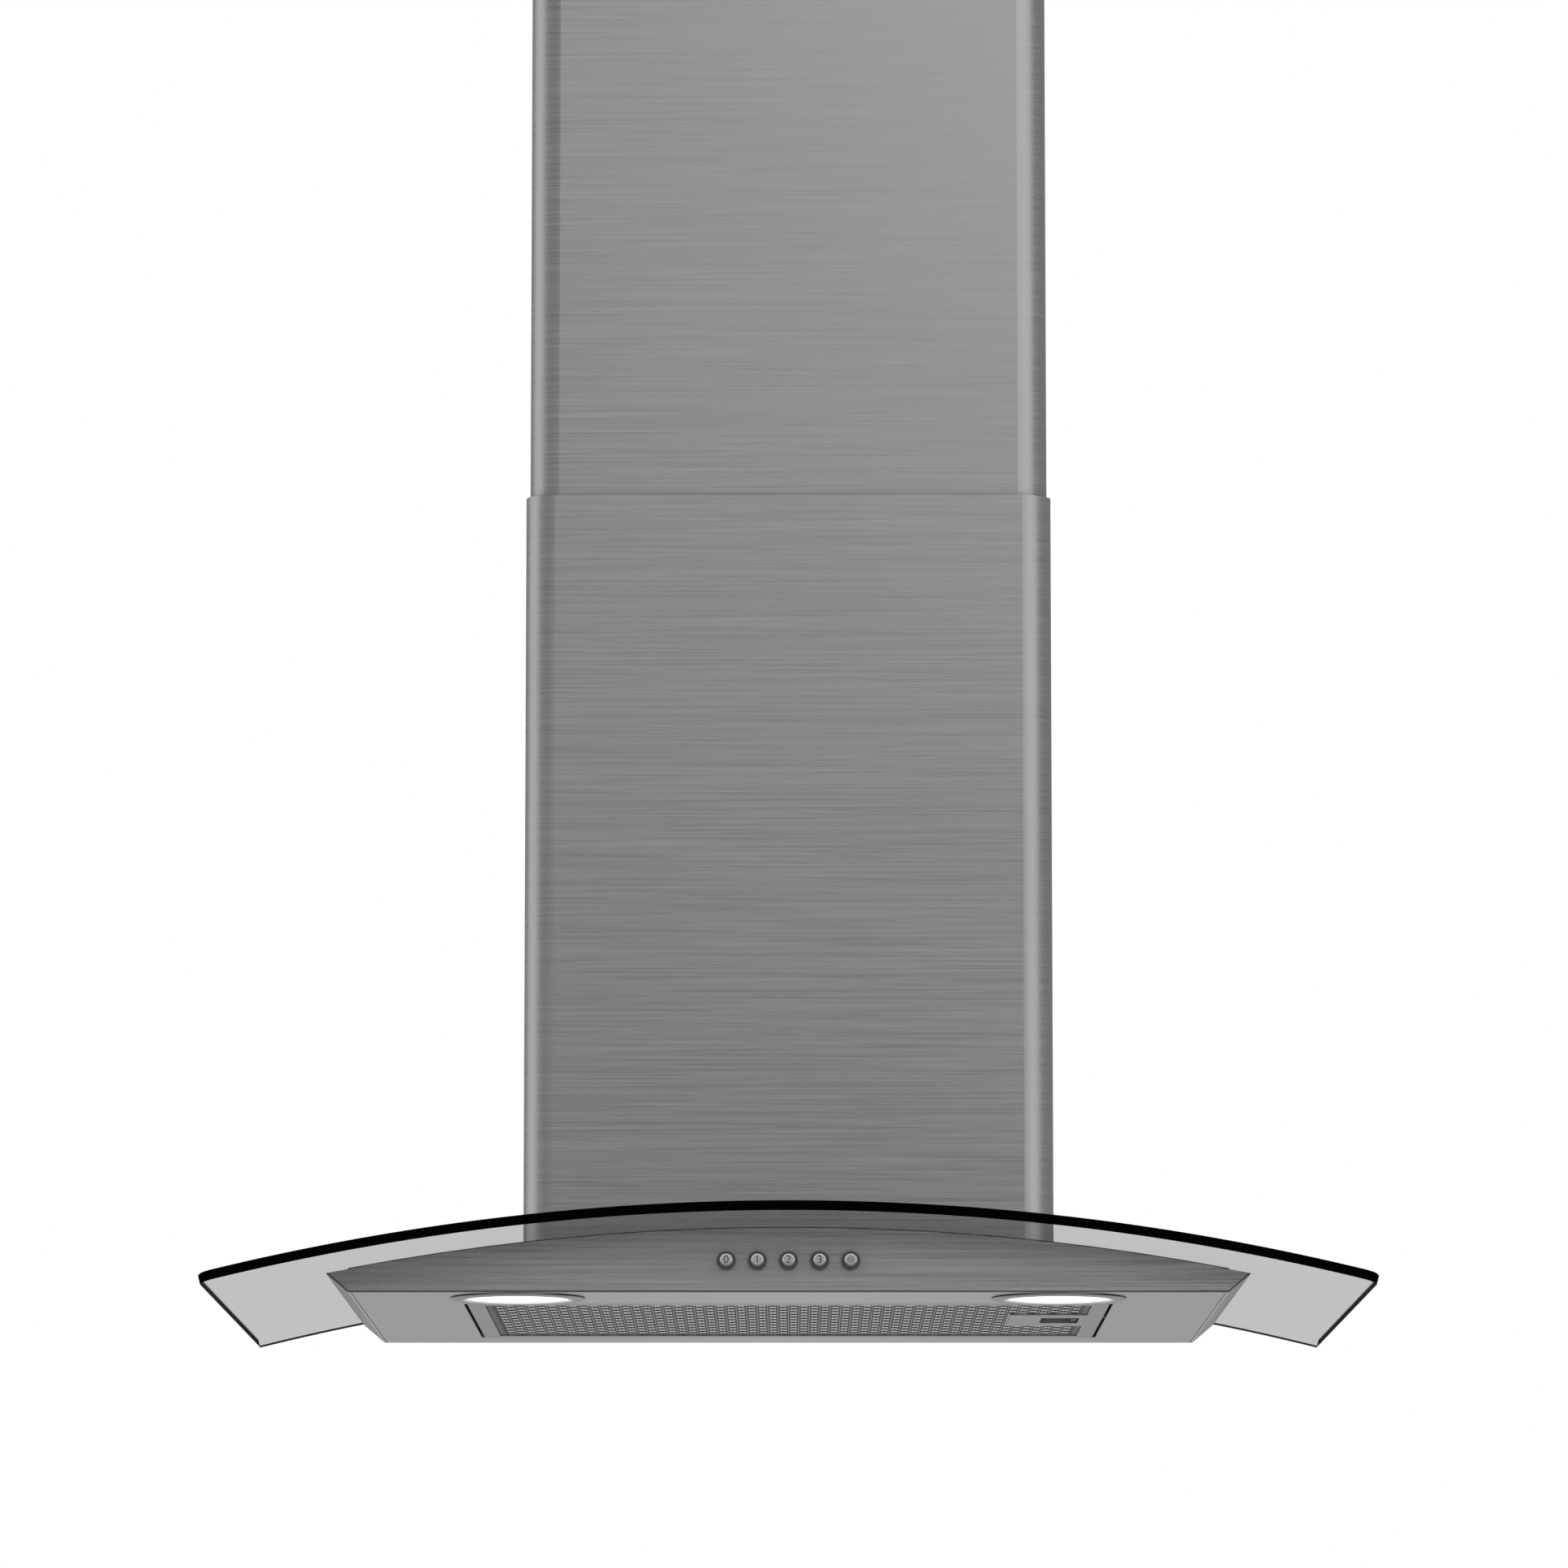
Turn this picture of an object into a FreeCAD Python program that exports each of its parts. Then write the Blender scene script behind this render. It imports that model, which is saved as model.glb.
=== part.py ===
import FreeCAD, Part
import math
import os
import Sketcher

# Wall mount range hood with a curved glass canopy, in millimetres.
# X runs to the right along the wall, Y runs into the wall and Z runs up.
# The origin lies on the wall plane, at mid-width, level with the underside of the hood.

SIZES = {
    # Shared sheet gauges and fits
    "sheet": 0.8,
    "box_sheet": 1,
    "seat_gap": 0.3,
    "running_gap": 0.05,
    "overrun": 6,
    # Curved glass canopy
    "glass_width": 600,
    "glass_depth": 500,
    "glass_thickness": 5,
    "glass_arch_radius": 1230,
    "glass_crown": 34,
    "glass_corner": 15,
    "notch_side_gap": 6,
    "tape_gap": 0.5,
    "tape_slack": 0.05,
    "tape_width": 12,
    # Hood body under the glass
    "body_width": 457,
    "body_depth": 394.5,
    "body_flare": 11.5,
    "body_flange": 7,
    "panel_gap": 0.4,
    # Chimney covers
    "cover_width": 285.2,
    "cover_depth": 255,
    "cover_corner": 16,
    "cover_return": 12,
    "cover_top": 443,
    "slide_gap": 1.3,
    "upper_bottom": 350,
    "upper_length": 400,
    # Airbox that carries the blower
    "airbox_width": 250,
    "airbox_front": 228,
    "airbox_back": 8,
    "airbox_top": 300,
    "airbox_flange": 12,
    "airbox_screw_radius": 2,
    "airbox_head_radius": 4,
    "airbox_head_height": 1.6,
    "airbox_screw_length": 6,
    # Wall rail that the airbox hangs on
    "rail_width": 220,
    "rail_bottom": 232,
    "rail_height": 40,
    "rail_sheet": 1.5,
    "rail_hole_radius": 3,
    "rail_hole_spacing": 150,
    "hook_width": 24,
    "hook_spacing": 100,
    "hook_rise": 7,
    "hook_drop": 10,
    "hook_gap": 0.5,
    # Blower housing, a double inlet scroll
    "fan_behind_front": 116,
    "fan_height": 150,
    "wheel_radius": 65,
    "wheel_length": 104,
    "scroll_width": 120,
    "scroll_start_radius": 74,
    "scroll_step": 10,
    "scroll_wall": 2.5,
    "inlet_radius": 54,
    "scroll_lip": 9,
    "scroll_front_lip": 3,
    "scroll_lip_height": 3,
    # Fan wheel, shaft and motor
    "blade_depth": 8,
    "blade_thickness": 1,
    "blade_sweep": 4,
    "wheel_ring": 2,
    "blade_inset": 0.5,
    "wheel_disc": 2,
    "hub_radius": 12,
    "hub_length": 12,
    "shaft_radius": 4,
    "shaft_front": 18,
    "shaft_back": 40,
    "nut_radius": 7,
    "nut_length": 5,
    "motor_radius": 40,
    "motor_start": 8,
    "motor_length": 88,
    "motor_cap_radius": 14,
    "motor_cap_length": 8,
    "bracket_plate": 2,
    "bracket_ring": 6,
    "bracket_arm": 12,
    "bracket_reach": 68,
    # Outlet collar with two non-return flaps
    "outlet_radius": 60,
    "outlet_wall": 2,
    "outlet_height": 45,
    "collar_flange_radius": 64,
    "collar_flange": 2,
    "flap_level": 12,
    "flap_thickness": 1.2,
    "flap_edge_gap": 2.5,
    "flap_axis_offset": 2.5,
    "flap_rod_radius": 1.8,
    "flap_pin_radius": 1.5,
    "flap_ledge": 5,
    "flap_ledge_height": 2.4,
    # Electrical pieces in the airbox
    "terminal_box_width": 24,
    "terminal_box_depth": 70,
    "terminal_box_height": 55,
    "terminal_box_level": 215,
    "terminal_box_front": 205,
    "terminal_box_wall": 2.5,
    "capacitor_radius": 14,
    "capacitor_length": 55,
    "capacitor_stub_radius": 4.7,
    "capacitor_stub": 5,
    "capacitor_level": 190,
    "capacitor_back": 45,
    "gland_radius": 8,
    "gland_flange": 3,
    "gland_flange_height": 2.5,
    "gland_bore": 4.5,
    "gland_side": 95,
    "gland_back": 45,
    # Push buttons on the fascia
    "button_pitch": 16.15,
    "button_level": 16.3,
    "button_radius": 4,
    "button_face_radius": 3.2,
    "button_reach": 7.5,
    "button_round": 0.8,
    "button_travel": 2.5,
    "button_skirt": 1.75,
    "button_stem_radius": 2,
    "button_stem": 12,
    "button_gap": 0.1,
    "bezel_radius": 5,
    "bezel_reach": 1.2,
    "bezel_sleeve": 0.5,
    "bezel_depth": 2,
    "bank_margin": 11.6,
    "bank_bottom": 7,
    "bank_top": 26,
    "bank_depth": 26,
    "bank_bracket_width": 60,
    "bank_bracket_height": 4,
    # Lamps in the bottom panel
    "lamp_spacing": 283.2,
    "lamp_inset": 39,
    "lamp_radius": 35.35,
    "lamp_window_radius": 27.1,
    "lamp_proud": 1.3,
    "lamp_sleeve_radius": 30,
    "lamp_sleeve_wall": 1.4,
    "lamp_sleeve_height": 10,
    "lens_gap": 0.1,
    "lens_lip": 1.3,
    "lens_lip_height": 1.4,
    "lens_recess": 0.4,
    "lamp_can_height": 17,
    # Grease filter that swings down on its left edge
    "filter_width": 342,
    "filter_depth": 263,
    "filter_front": 308,
    "filter_height": 9,
    "filter_wall": 2,
    "filter_side_lip": 10,
    "filter_end_lip": 12.5,
    "filter_lip_sheet": 0.8,
    "filter_gap": 0.9,
    "filter_edge_radius": 2.2,
    "face_sheet": 0.7,
    "mesh_gap": 0.1,
    "mesh_sheet": 0.5,
    "slot_pitch_x": 5.6,
    "slot_pitch_y": 21,
    "slot_width": 3.6,
    "slot_length": 11.5,
    "slot_margin": 3,
    "back_slot_pitch_x": 22,
    "back_slot_pitch_y": 48,
    "back_slot_width": 12,
    "back_slot_length": 36,
    "pin_radius": 1.2,
    "pin_reach": 3.2,
    "pivot_plate": 1.8,
    "pivot_play": 1.2,
    "pivot_width": 9,
    "pivot_height": 4.4,
    # Handle plate, finger recess and sliding latch at the filter's right edge
    "handle_left": 119.6,
    "handle_depth": 86,
    "handle_middle": 180.5,
    "recess_left": 137,
    "recess_right": 157.6,
    "recess_depth": 39,
    "recess_wall": 0.8,
    "recess_top": 7,
    "latch_bottom": 1.9,
    "latch_thickness": 2.5,
    "latch_width": 16,
    "latch_gap": 0.4,
    "latch_reach": 4,
    "latch_tab": 3,
    "latch_tab_inset": 1.1,
    "latch_shoulder": 3,
    "latch_shoulder_width": 22,
    "keeper_length": 8,
    "keeper_width": 30,
    # Fasteners of the glass and the covers
    "glass_screw_spacing": 70,
    "glass_screw_radius": 2.5,
    "glass_hole_radius": 4,
    "glass_head_radius": 5,
    "glass_head_height": 2.6,
    "glass_washer_radius": 6,
    "glass_washer": 1,
    "glass_screw_inset": 10,
    "glass_screw_length": 12,
    "clamp_width": 15,
    "clamp_sheet": 1.5,
    "clamp_height": 18,
    "clamp_reach": 12,
    "clamp_back": 60,
    "cover_screw_radius": 1.7,
    "cover_head_radius": 3.6,
    "cover_head_height": 1.6,
    "cover_screw_length": 7,
    "cover_tab_height": 24,
    "cover_tab_length": 26,
    "cover_tab_back": 90,
    "upper_bracket_height": 25,
    "upper_bracket_drop": 15,
    "upper_bracket_half": 126,
    "upper_bracket_sheet": 1.5,
    "upper_bracket_step": 3.5,
    "upper_bracket_arm": 26,
    "upper_hole_radius": 3,
    "upper_hole_spacing": 160,
}
BUTTON_NAMES = ("button_0", "button_1", "button_2", "button_3", "button_light")
GLASS_SCREWS = 4
BLADES = 36
BRACKET_ARMS = 3
MESH_FOLDS = 30

doc = FreeCAD.newDocument("range_hood")
size_sheet = doc.addObject("Spreadsheet::Sheet", "sizes")
for row, (alias, length) in enumerate(SIZES.items(), start=1):
    size_sheet.set(f"A{row}", alias)
    size_sheet.set(f"B{row}", str(length))
    size_sheet.setAlias(f"B{row}", alias)
doc.recompute()


class Size:
    """A length with its present value and the formula that ties it to the sheet."""

    def __init__(self, value, formula):
        self.value = value
        self.formula = formula

    def __add__(self, other):
        return Size(self.value + value_of(other), f"({self.formula} + {formula_of(other)})")

    def __radd__(self, other):
        return self + other

    def __sub__(self, other):
        return Size(self.value - value_of(other), f"({self.formula} - {formula_of(other)})")

    def __rsub__(self, other):
        return -self + other

    def __neg__(self):
        return Size(-self.value, f"(-1 * {self.formula})")

    def __mul__(self, other):
        return Size(self.value * value_of(other), f"({self.formula} * {formula_of(other)})")

    def __rmul__(self, other):
        return self * other

    def __truediv__(self, other):
        return Size(self.value / value_of(other), f"({self.formula} / {formula_of(other)})")


class Sheet:
    """Reads a named size, as in s.glass_width."""

    def __getattr__(self, name):
        return Size(float(size_sheet.get(name)), f"sizes.{name}")


def value_of(size):
    return size.value if isinstance(size, Size) else size


def formula_of(size):
    return size.formula if isinstance(size, Size) else str(size)


def root(size):
    return Size(math.sqrt(size.value), f"sqrt({size.formula})")


s = Sheet()
nodes = []


def bind(thing, path, size):
    thing.setExpression(path, formula_of(size))


def place(thing, x, y, z):
    bind(thing, "Placement.Base.x", x)
    bind(thing, "Placement.Base.y", y)
    bind(thing, "Placement.Base.z", z)
    return thing


def node(name, thing):
    """Names a finished sub-part, which is then written to a file of that name."""
    thing.Label = name
    nodes.append(thing)
    return thing


# Solids from primitives and booleans
TURNS = {"x": FreeCAD.Rotation(FreeCAD.Vector(0, 1, 0), 90),
         "y": FreeCAD.Rotation(FreeCAD.Vector(1, 0, 0), -90),
         "z": FreeCAD.Rotation()}


def block(x0, x1, y0, y1, z0, z1):
    box = doc.addObject("Part::Box", "block")
    bind(box, "Length", x1 - x0)
    bind(box, "Width", y1 - y0)
    bind(box, "Height", z1 - z0)
    return place(box, x0, y0, z0)


def rod(axis, x, y, z, length, radius):
    """A cylinder that starts at a point and runs along the positive axis."""
    cylinder = doc.addObject("Part::Cylinder", "rod")
    cylinder.Placement = FreeCAD.Placement(FreeCAD.Vector(), TURNS[axis])
    bind(cylinder, "Radius", radius)
    bind(cylinder, "Height", length)
    return place(cylinder, x, y, z)


def join(*solids):
    fusion = doc.addObject("Part::MultiFuse", "join")
    fusion.Shapes = list(solids)
    return fusion


def cut(base, *tools):
    difference = doc.addObject("Part::Cut", "cut")
    difference.Base = base
    difference.Tool = tools[0] if len(tools) == 1 else join(*tools)
    return difference


def common(first, second):
    shared = doc.addObject("Part::Common", "common")
    shared.Base = first
    shared.Tool = second
    return shared


def group(*solids):
    together = doc.addObject("Part::Compound", "group")
    together.Links = list(solids)
    return together


# Bodies from sketches
def body():
    return doc.addObject("PartDesign::Body", "body")


def sketch(owner, role, offset=0):
    """A sketch on one of the body's own origin planes, moved along that plane's normal."""
    drawing = owner.newObject("Sketcher::SketchObject", "sketch")
    planes = {feature.Role: feature for feature in owner.Origin.OriginFeatures}
    drawing.AttachmentSupport = [(planes[role], "")]
    drawing.MapMode = "FlatFace"
    bind(drawing, "AttachmentOffset.Base.z", offset)
    return drawing


def pin_point(drawing, geometry, end, x, y):
    """Ties a point of the sketch to its two measured distances from the sketch's origin."""
    for kind, length in (("DistanceX", x), ("DistanceY", y)):
        rule = Sketcher.Constraint(kind, -1, 1, geometry, end, value_of(length))
        index = drawing.addConstraint(rule)
        drawing.renameConstraint(index, f"d{index}")
        bind(drawing, f"Constraints.d{index}", length)


def circle(drawing, x, y, radius):
    centre = FreeCAD.Vector(value_of(x), value_of(y), 0)
    round_line = Part.Circle(centre, FreeCAD.Vector(0, 0, 1), value_of(radius))
    geometry = drawing.addGeometry(round_line)
    index = drawing.addConstraint(Sketcher.Constraint("Radius", geometry, value_of(radius)))
    drawing.renameConstraint(index, f"d{index}")
    bind(drawing, f"Constraints.d{index}", radius)
    pin_point(drawing, geometry, 3, x, y)


def outline(drawing, corners):
    """A closed outline. A corner is (x, y), or (x, y, radius, side) where an arc of that
    radius leads to it from the corner before, bulging to the side 1 (right) or -1 (left)."""
    points = [FreeCAD.Vector(value_of(corner[0]), value_of(corner[1]), 0) for corner in corners]
    edges = []
    for index, corner in enumerate(corners):
        start = points[index - 1]
        end = points[index]
        if len(corner) == 2:
            edges.append(drawing.addGeometry(Part.LineSegment(start, end)))
            continue
        radius = value_of(corner[2])
        chord = end - start
        across = FreeCAD.Vector(chord.y, -chord.x, 0).normalize() * corner[3]
        half = chord.Length / 2
        bulge = radius - math.sqrt(max(radius ** 2 - half ** 2, 0))
        top = start + chord * 0.5 + across * bulge
        arc = Part.Arc(start, top, end)
        edges.append(drawing.addGeometry(arc))
    for index, corner in enumerate(corners):
        if len(corner) == 4:
            rule = Sketcher.Constraint("Radius", edges[index], value_of(corner[2]))
            number = drawing.addConstraint(rule)
            drawing.renameConstraint(number, f"d{number}")
            bind(drawing, f"Constraints.d{number}", corner[2])
        after = (index + 1) % len(corners)
        near = end_at(drawing, edges[index], points[index])
        far = end_at(drawing, edges[after], points[index])
        drawing.addConstraint(Sketcher.Constraint("Coincident", edges[index], near, edges[after], far))
        pin_point(drawing, edges[index], near, corner[0], corner[1])


def end_at(drawing, edge, point):
    """Which end of a sketch edge, 1 or 2, lies at the point."""
    first = drawing.getPoint(edge, 1)
    last = drawing.getPoint(edge, 2)
    return 1 if (first - point).Length <= (last - point).Length else 2


def rectangle(drawing, x0, x1, y0, y1):
    outline(drawing, [(x0, y0), (x1, y0), (x1, y1), (x0, y1)])


def pad(owner, drawing, length, reverse=False):
    feature = owner.newObject("PartDesign::Pad", "pad")
    feature.Profile = drawing
    bind(feature, "Length", length)
    feature.Reversed = reverse
    return feature


def pocket(owner, drawing, length, reverse=False):
    """Cuts the drawing out of the body and makes sure that it took something away."""
    doc.recompute()
    before = owner.Shape.Volume
    feature = owner.newObject("PartDesign::Pocket", "pocket")
    feature.Profile = drawing
    bind(feature, "Length", length)
    feature.Reversed = reverse
    doc.recompute()
    if not owner.Shape.Volume < before:
        raise ValueError(f"{owner.Label}: a pocket cuts nothing")
    return feature


def revolve(owner, drawing, axis="Z_Axis"):
    feature = owner.newObject("PartDesign::Revolution", "revolve")
    feature.Profile = drawing
    axes = {line.Role: line for line in owner.Origin.OriginFeatures}
    feature.ReferenceAxis = (axes[axis], [""])
    feature.Angle = 360
    return feature


def polar_pattern(owner, feature, axis, count):
    pattern = owner.newObject("PartDesign::PolarPattern", "pattern")
    pattern.Originals = [feature]
    axes = {line.Role: line for line in owner.Origin.OriginFeatures}
    pattern.Axis = (axes[axis], [""])
    pattern.Angle = 360
    pattern.Occurrences = count
    owner.Tip = pattern
    return pattern


# Levels that several pieces share
arch_centre = s.glass_crown - s.glass_arch_radius
glass_top_radius = s.glass_arch_radius + s.glass_thickness
deck_radius = s.glass_arch_radius - s.tape_gap
deck_inner_radius = deck_radius - s.sheet
deck_top = arch_centre + deck_radius
glass_top = s.glass_crown + s.glass_thickness
body_half = s.body_width / 2
tip_half = body_half + s.body_flare
panel_top = s.sheet
flange_top = s.sheet + s.sheet


def arch_level(radius, x):
    """Height of an arch of the given radius at a distance from mid-width."""
    return arch_centre + root(radius * radius - x * x)


def seat_level(radius, x, head):
    """Height at which a flat round face clears an arch, at its edge nearest to mid-width."""
    inward = -1 if value_of(x) > 0 else 1
    return arch_level(radius, x + inward * head) + s.seat_gap


tip_level = arch_level(deck_radius, tip_half)
flare_slope = s.body_flare / tip_level
side_wall = s.sheet * root(s.body_flare * s.body_flare + tip_level * tip_level) / tip_level


def arch_rod(radius, y0, y1):
    """The cylinder whose top is an arch of the given radius, from y0 to y1."""
    return rod("y", 0, y0, arch_centre, y1 - y0, radius)


def flared_block(half, y0, y1, z0, z1):
    """A block whose sides lean out at the slope of the hood's flanks."""
    wedge = doc.addObject("Part::Wedge", "wedge")
    low = half + z0 * flare_slope
    high = half + z1 * flare_slope
    wedge.Placement = FreeCAD.Placement(FreeCAD.Vector(), FreeCAD.Rotation(FreeCAD.Vector(1, 0, 0), 90))
    for path, size in (("Xmin", -low), ("Xmax", low), ("X2min", -high), ("X2max", high),
                       ("Ymin", z0), ("Ymax", z1), ("Zmin", -y1), ("Zmax", -y0),
                       ("Z2min", -y1), ("Z2max", -y0)):
        bind(wedge, path, size)
    return wedge


# Places that several pieces share
airbox_half = s.airbox_width / 2
opening_half = airbox_half - s.airbox_flange
opening_front = -(s.airbox_front - s.airbox_flange)
opening_back = -(s.airbox_back + s.airbox_flange)
fan_y = -s.fan_behind_front
fan_z = s.fan_height
scroll_half = s.scroll_width / 2
outlet_front = fan_y - s.scroll_step / 2 - s.scroll_start_radius - s.scroll_step * 2
outlet_back = fan_y + s.scroll_step / 2
outlet_y = (outlet_front + outlet_back) / 2
collar_bore = s.outlet_radius - s.outlet_wall
flap_z = s.airbox_top + s.flap_level
button_x = [s.button_pitch * (index - 2) for index in range(len(BUTTON_NAMES))]
fascia_y = -s.body_depth
lamp_y = fascia_y + s.lamp_inset
lamp_x = s.lamp_spacing / 2
filter_half = s.filter_width / 2
filter_y0 = -s.filter_front
filter_y1 = -s.filter_front + s.filter_depth
glass_screw_y = -s.airbox_front - s.glass_screw_inset
glass_screw_x = [s.glass_screw_spacing * (index - (GLASS_SCREWS - 1) / 2) for index in range(GLASS_SCREWS)]
airbox_screw_shares = (0.9, 0.5, 0.15)
airbox_screw_places = [(side * (opening_half + s.airbox_flange / 2), opening_front * share)
                       for side in (-1, 1) for share in airbox_screw_shares]


def hood_shell():
    """Folded steel body: fascia, flared flanks, back and arched deck, with an inward flange."""
    outer = common(arch_rod(deck_radius, fascia_y, 0),
                   flared_block(body_half, fascia_y, 0, 0, deck_top + s.overrun))
    inner_y0 = fascia_y + s.sheet
    cavity = common(arch_rod(deck_inner_radius, inner_y0, -s.sheet),
                    flared_block(body_half - side_wall, inner_y0, -s.sheet, flange_top, deck_top))
    panel_room = flared_block(body_half - side_wall, inner_y0, -s.sheet, 0, panel_top)
    flange_half = body_half - side_wall - s.body_flange
    mouth = block(-flange_half, flange_half, inner_y0 + s.body_flange, -s.sheet - s.body_flange,
                  -s.overrun, flange_top + s.overrun)
    deck_hole = block(-opening_half, opening_half, opening_front, opening_back,
                      flange_top, deck_top + s.overrun)
    holes = [rod("y", x, fascia_y - s.overrun, s.button_level, s.overrun * 2,
                 s.button_radius + s.button_gap + s.bezel_sleeve + s.running_gap) for x in button_x]
    holes += [rod("z", x, y, flange_top, deck_top, s.airbox_screw_radius + s.running_gap)
              for x, y in airbox_screw_places]
    holes += [rod("z", x, glass_screw_y, flange_top, deck_top, s.glass_screw_radius + s.running_gap)
              for x in glass_screw_x]
    return cut(outer, cavity, panel_room, mouth, deck_hole, *holes)


def bottom_panel():
    """Flat steel panel with the filter opening and the two lamp holes."""
    owner = body()
    drawing = sketch(owner, "XY_Plane")
    half = body_half - side_wall - s.panel_gap
    rectangle(drawing, -half, half, fascia_y + s.sheet + s.panel_gap, -s.sheet - s.panel_gap)
    gap = s.filter_gap
    rectangle(drawing, -filter_half - gap, filter_half + gap, filter_y0 - gap, filter_y1 + gap)
    for side in (-1, 1):
        circle(drawing, side * lamp_x, lamp_y, s.lamp_sleeve_radius + s.seat_gap)
    pad(owner, drawing, s.sheet)
    return owner


def glass_canopy():
    """Bent glass with rounded front corners and a notch for the airbox."""
    owner = body()
    half = s.glass_width / 2
    arch = sketch(owner, "XZ_Plane")
    low = arch_level(s.glass_arch_radius, half)
    high = arch_level(glass_top_radius, half)
    outline(arch, [(-half, low), (half, low, s.glass_arch_radius, -1),
                   (half, high), (-half, high, glass_top_radius, 1)])
    pad(owner, arch, s.glass_depth)
    doc.recompute()
    plan = sketch(owner, "XY_Plane", -s.glass_crown)
    notch_half = airbox_half + s.notch_side_gap
    rectangle(plan, -notch_half, notch_half, -s.airbox_front - s.seat_gap, s.overrun)
    for x in glass_screw_x:
        circle(plan, x, glass_screw_y, s.glass_hole_radius)
    pocket(owner, plan, s.glass_crown * 3, reverse=True)
    tip = owner.Tip
    corner_edges = [f"Edge{index}" for index, edge in enumerate(tip.Shape.Edges, start=1)
                    if is_front_corner(edge)]
    rounding = owner.newObject("PartDesign::Fillet", "rounding")
    rounding.Base = (tip, corner_edges)
    bind(rounding, "Radius", s.glass_corner)
    return owner


def is_front_corner(edge):
    """True for the glass's two short upright edges at its front corners."""
    near = value_of(s.sheet) / 10
    ends = [vertex.Point for vertex in edge.Vertexes]
    at_front = all(abs(point.y + value_of(s.glass_depth)) < near for point in ends)
    at_side = all(abs(abs(point.x) - value_of(s.glass_width) / 2) < near for point in ends)
    return at_front and at_side and edge.Length < value_of(s.glass_thickness) * 2


def glass_tape():
    """Thin silicone strip that beds the glass on the deck, round the front and the flanks."""
    slab = cut(arch_rod(s.glass_arch_radius - s.tape_slack, fascia_y, 0),
               arch_rod(deck_radius + s.tape_slack, fascia_y - s.overrun, s.overrun))
    inner_half = body_half - s.tape_width
    ring = cut(block(-body_half, body_half, fascia_y, 0, 0, glass_top),
               block(-inner_half, inner_half, fascia_y + s.tape_width, s.overrun,
                     -s.overrun, glass_top + s.overrun))
    return common(slab, ring)


def glass_screws():
    """Pan head screws that hold the glass down on the deck, under the chimney."""
    screws = []
    for x in glass_screw_x:
        seat = seat_level(glass_top_radius, x, s.glass_washer_radius) + s.glass_washer
        head = rod("z", x, glass_screw_y, seat, s.glass_head_height, s.glass_head_radius)
        shank = rod("z", x, glass_screw_y, seat - s.glass_screw_length, s.glass_screw_length,
                    s.glass_screw_radius)
        screws.append(join(head, shank))
    return group(*screws)


def glass_washers():
    """Rubber washers between the screw heads and the glass."""
    washers = []
    for x in glass_screw_x:
        seat = seat_level(glass_top_radius, x, s.glass_washer_radius)
        disc = rod("z", x, glass_screw_y, seat, s.glass_washer, s.glass_washer_radius)
        bore = rod("z", x, glass_screw_y, seat - s.overrun, s.overrun * 2,
                   s.glass_screw_radius + s.running_gap)
        washers.append(cut(disc, bore))
    return group(*washers)


def glass_clamps():
    """Two angles on the airbox that keep the rear of the glass down."""
    clamps = []
    for side in (-1, 1):
        wall = side * airbox_half
        level = arch_level(glass_top_radius, airbox_half) + s.seat_gap
        y0 = -s.clamp_back - s.clamp_width
        lean = side * s.clamp_sheet
        reach = side * s.clamp_reach
        upright = ordered_block(wall, wall + lean, y0, y0 + s.clamp_width, level,
                                level + s.clamp_height, side)
        foot = ordered_block(wall, wall + reach, y0, y0 + s.clamp_width, level,
                             level + s.clamp_sheet, side)
        clamps.append(join(upright, foot))
    return group(*clamps)


def ordered_block(x0, x1, y0, y1, z0, z1, side):
    """A block given from the inside out, on the side 1 or -1 of mid-width."""
    if side > 0:
        return block(x0, x1, y0, y1, z0, z1)
    return block(x1, x0, y0, y1, z0, z1)


def cover_profile(drawing, half, front, back):
    """Folded channel seen from above: front, round corners, sides and short returns."""
    r = s.cover_corner
    t = s.sheet
    inner = r - t
    edge = half - s.cover_return
    outline(drawing, [
        (-edge, back), (-half, back), (-half, front + r), (-half + r, front, r, 1),
        (half - r, front), (half, front + r, r, 1), (half, back), (edge, back),
        (edge, back - t), (half - t, back - t), (half - t, front + r),
        (half - r, front + t, inner, -1), (-half + r, front + t),
        (-half + t, front + r, inner, -1), (-half + t, back - t), (-edge, back - t)])


cover_half = s.cover_width / 2
upper_half = cover_half - s.sheet - s.slide_gap
upper_front = -s.cover_depth + s.sheet + s.slide_gap
upper_back = -s.sheet - s.seat_gap
upper_top = s.upper_bottom + s.upper_length
cover_screw_level = glass_top + s.cover_tab_height / 2
upper_screw_level = upper_top - s.upper_bracket_drop - s.upper_bracket_height / 2
arm_screw_share = 0.6
upper_screw_y = upper_back - s.sheet - s.upper_bracket_step - s.upper_bracket_arm * arm_screw_share


def lower_chimney():
    """Outer chimney cover, with its bottom edge arched to sit on the glass."""
    owner = body()
    plan = sketch(owner, "XY_Plane")
    cover_profile(plan, cover_half, -s.cover_depth, 0)
    pad(owner, plan, s.cover_top)
    doc.recompute()
    arch = sketch(owner, "XZ_Plane", -s.overrun)
    seat = glass_top_radius + s.seat_gap
    wide = cover_half + s.overrun
    level = arch_level(seat, wide)
    outline(arch, [(-wide, -s.overrun), (wide, -s.overrun), (wide, level), (-wide, level, seat, 1)])
    pocket(owner, arch, s.cover_depth + s.overrun * 2, reverse=True)
    doc.recompute()
    drill = sketch(owner, "YZ_Plane", -cover_half - s.overrun)
    circle(drill, -s.cover_tab_back, cover_screw_level, s.cover_screw_radius + s.running_gap)
    pocket(owner, drill, s.cover_width + s.overrun * 2, reverse=True)
    return owner


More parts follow.
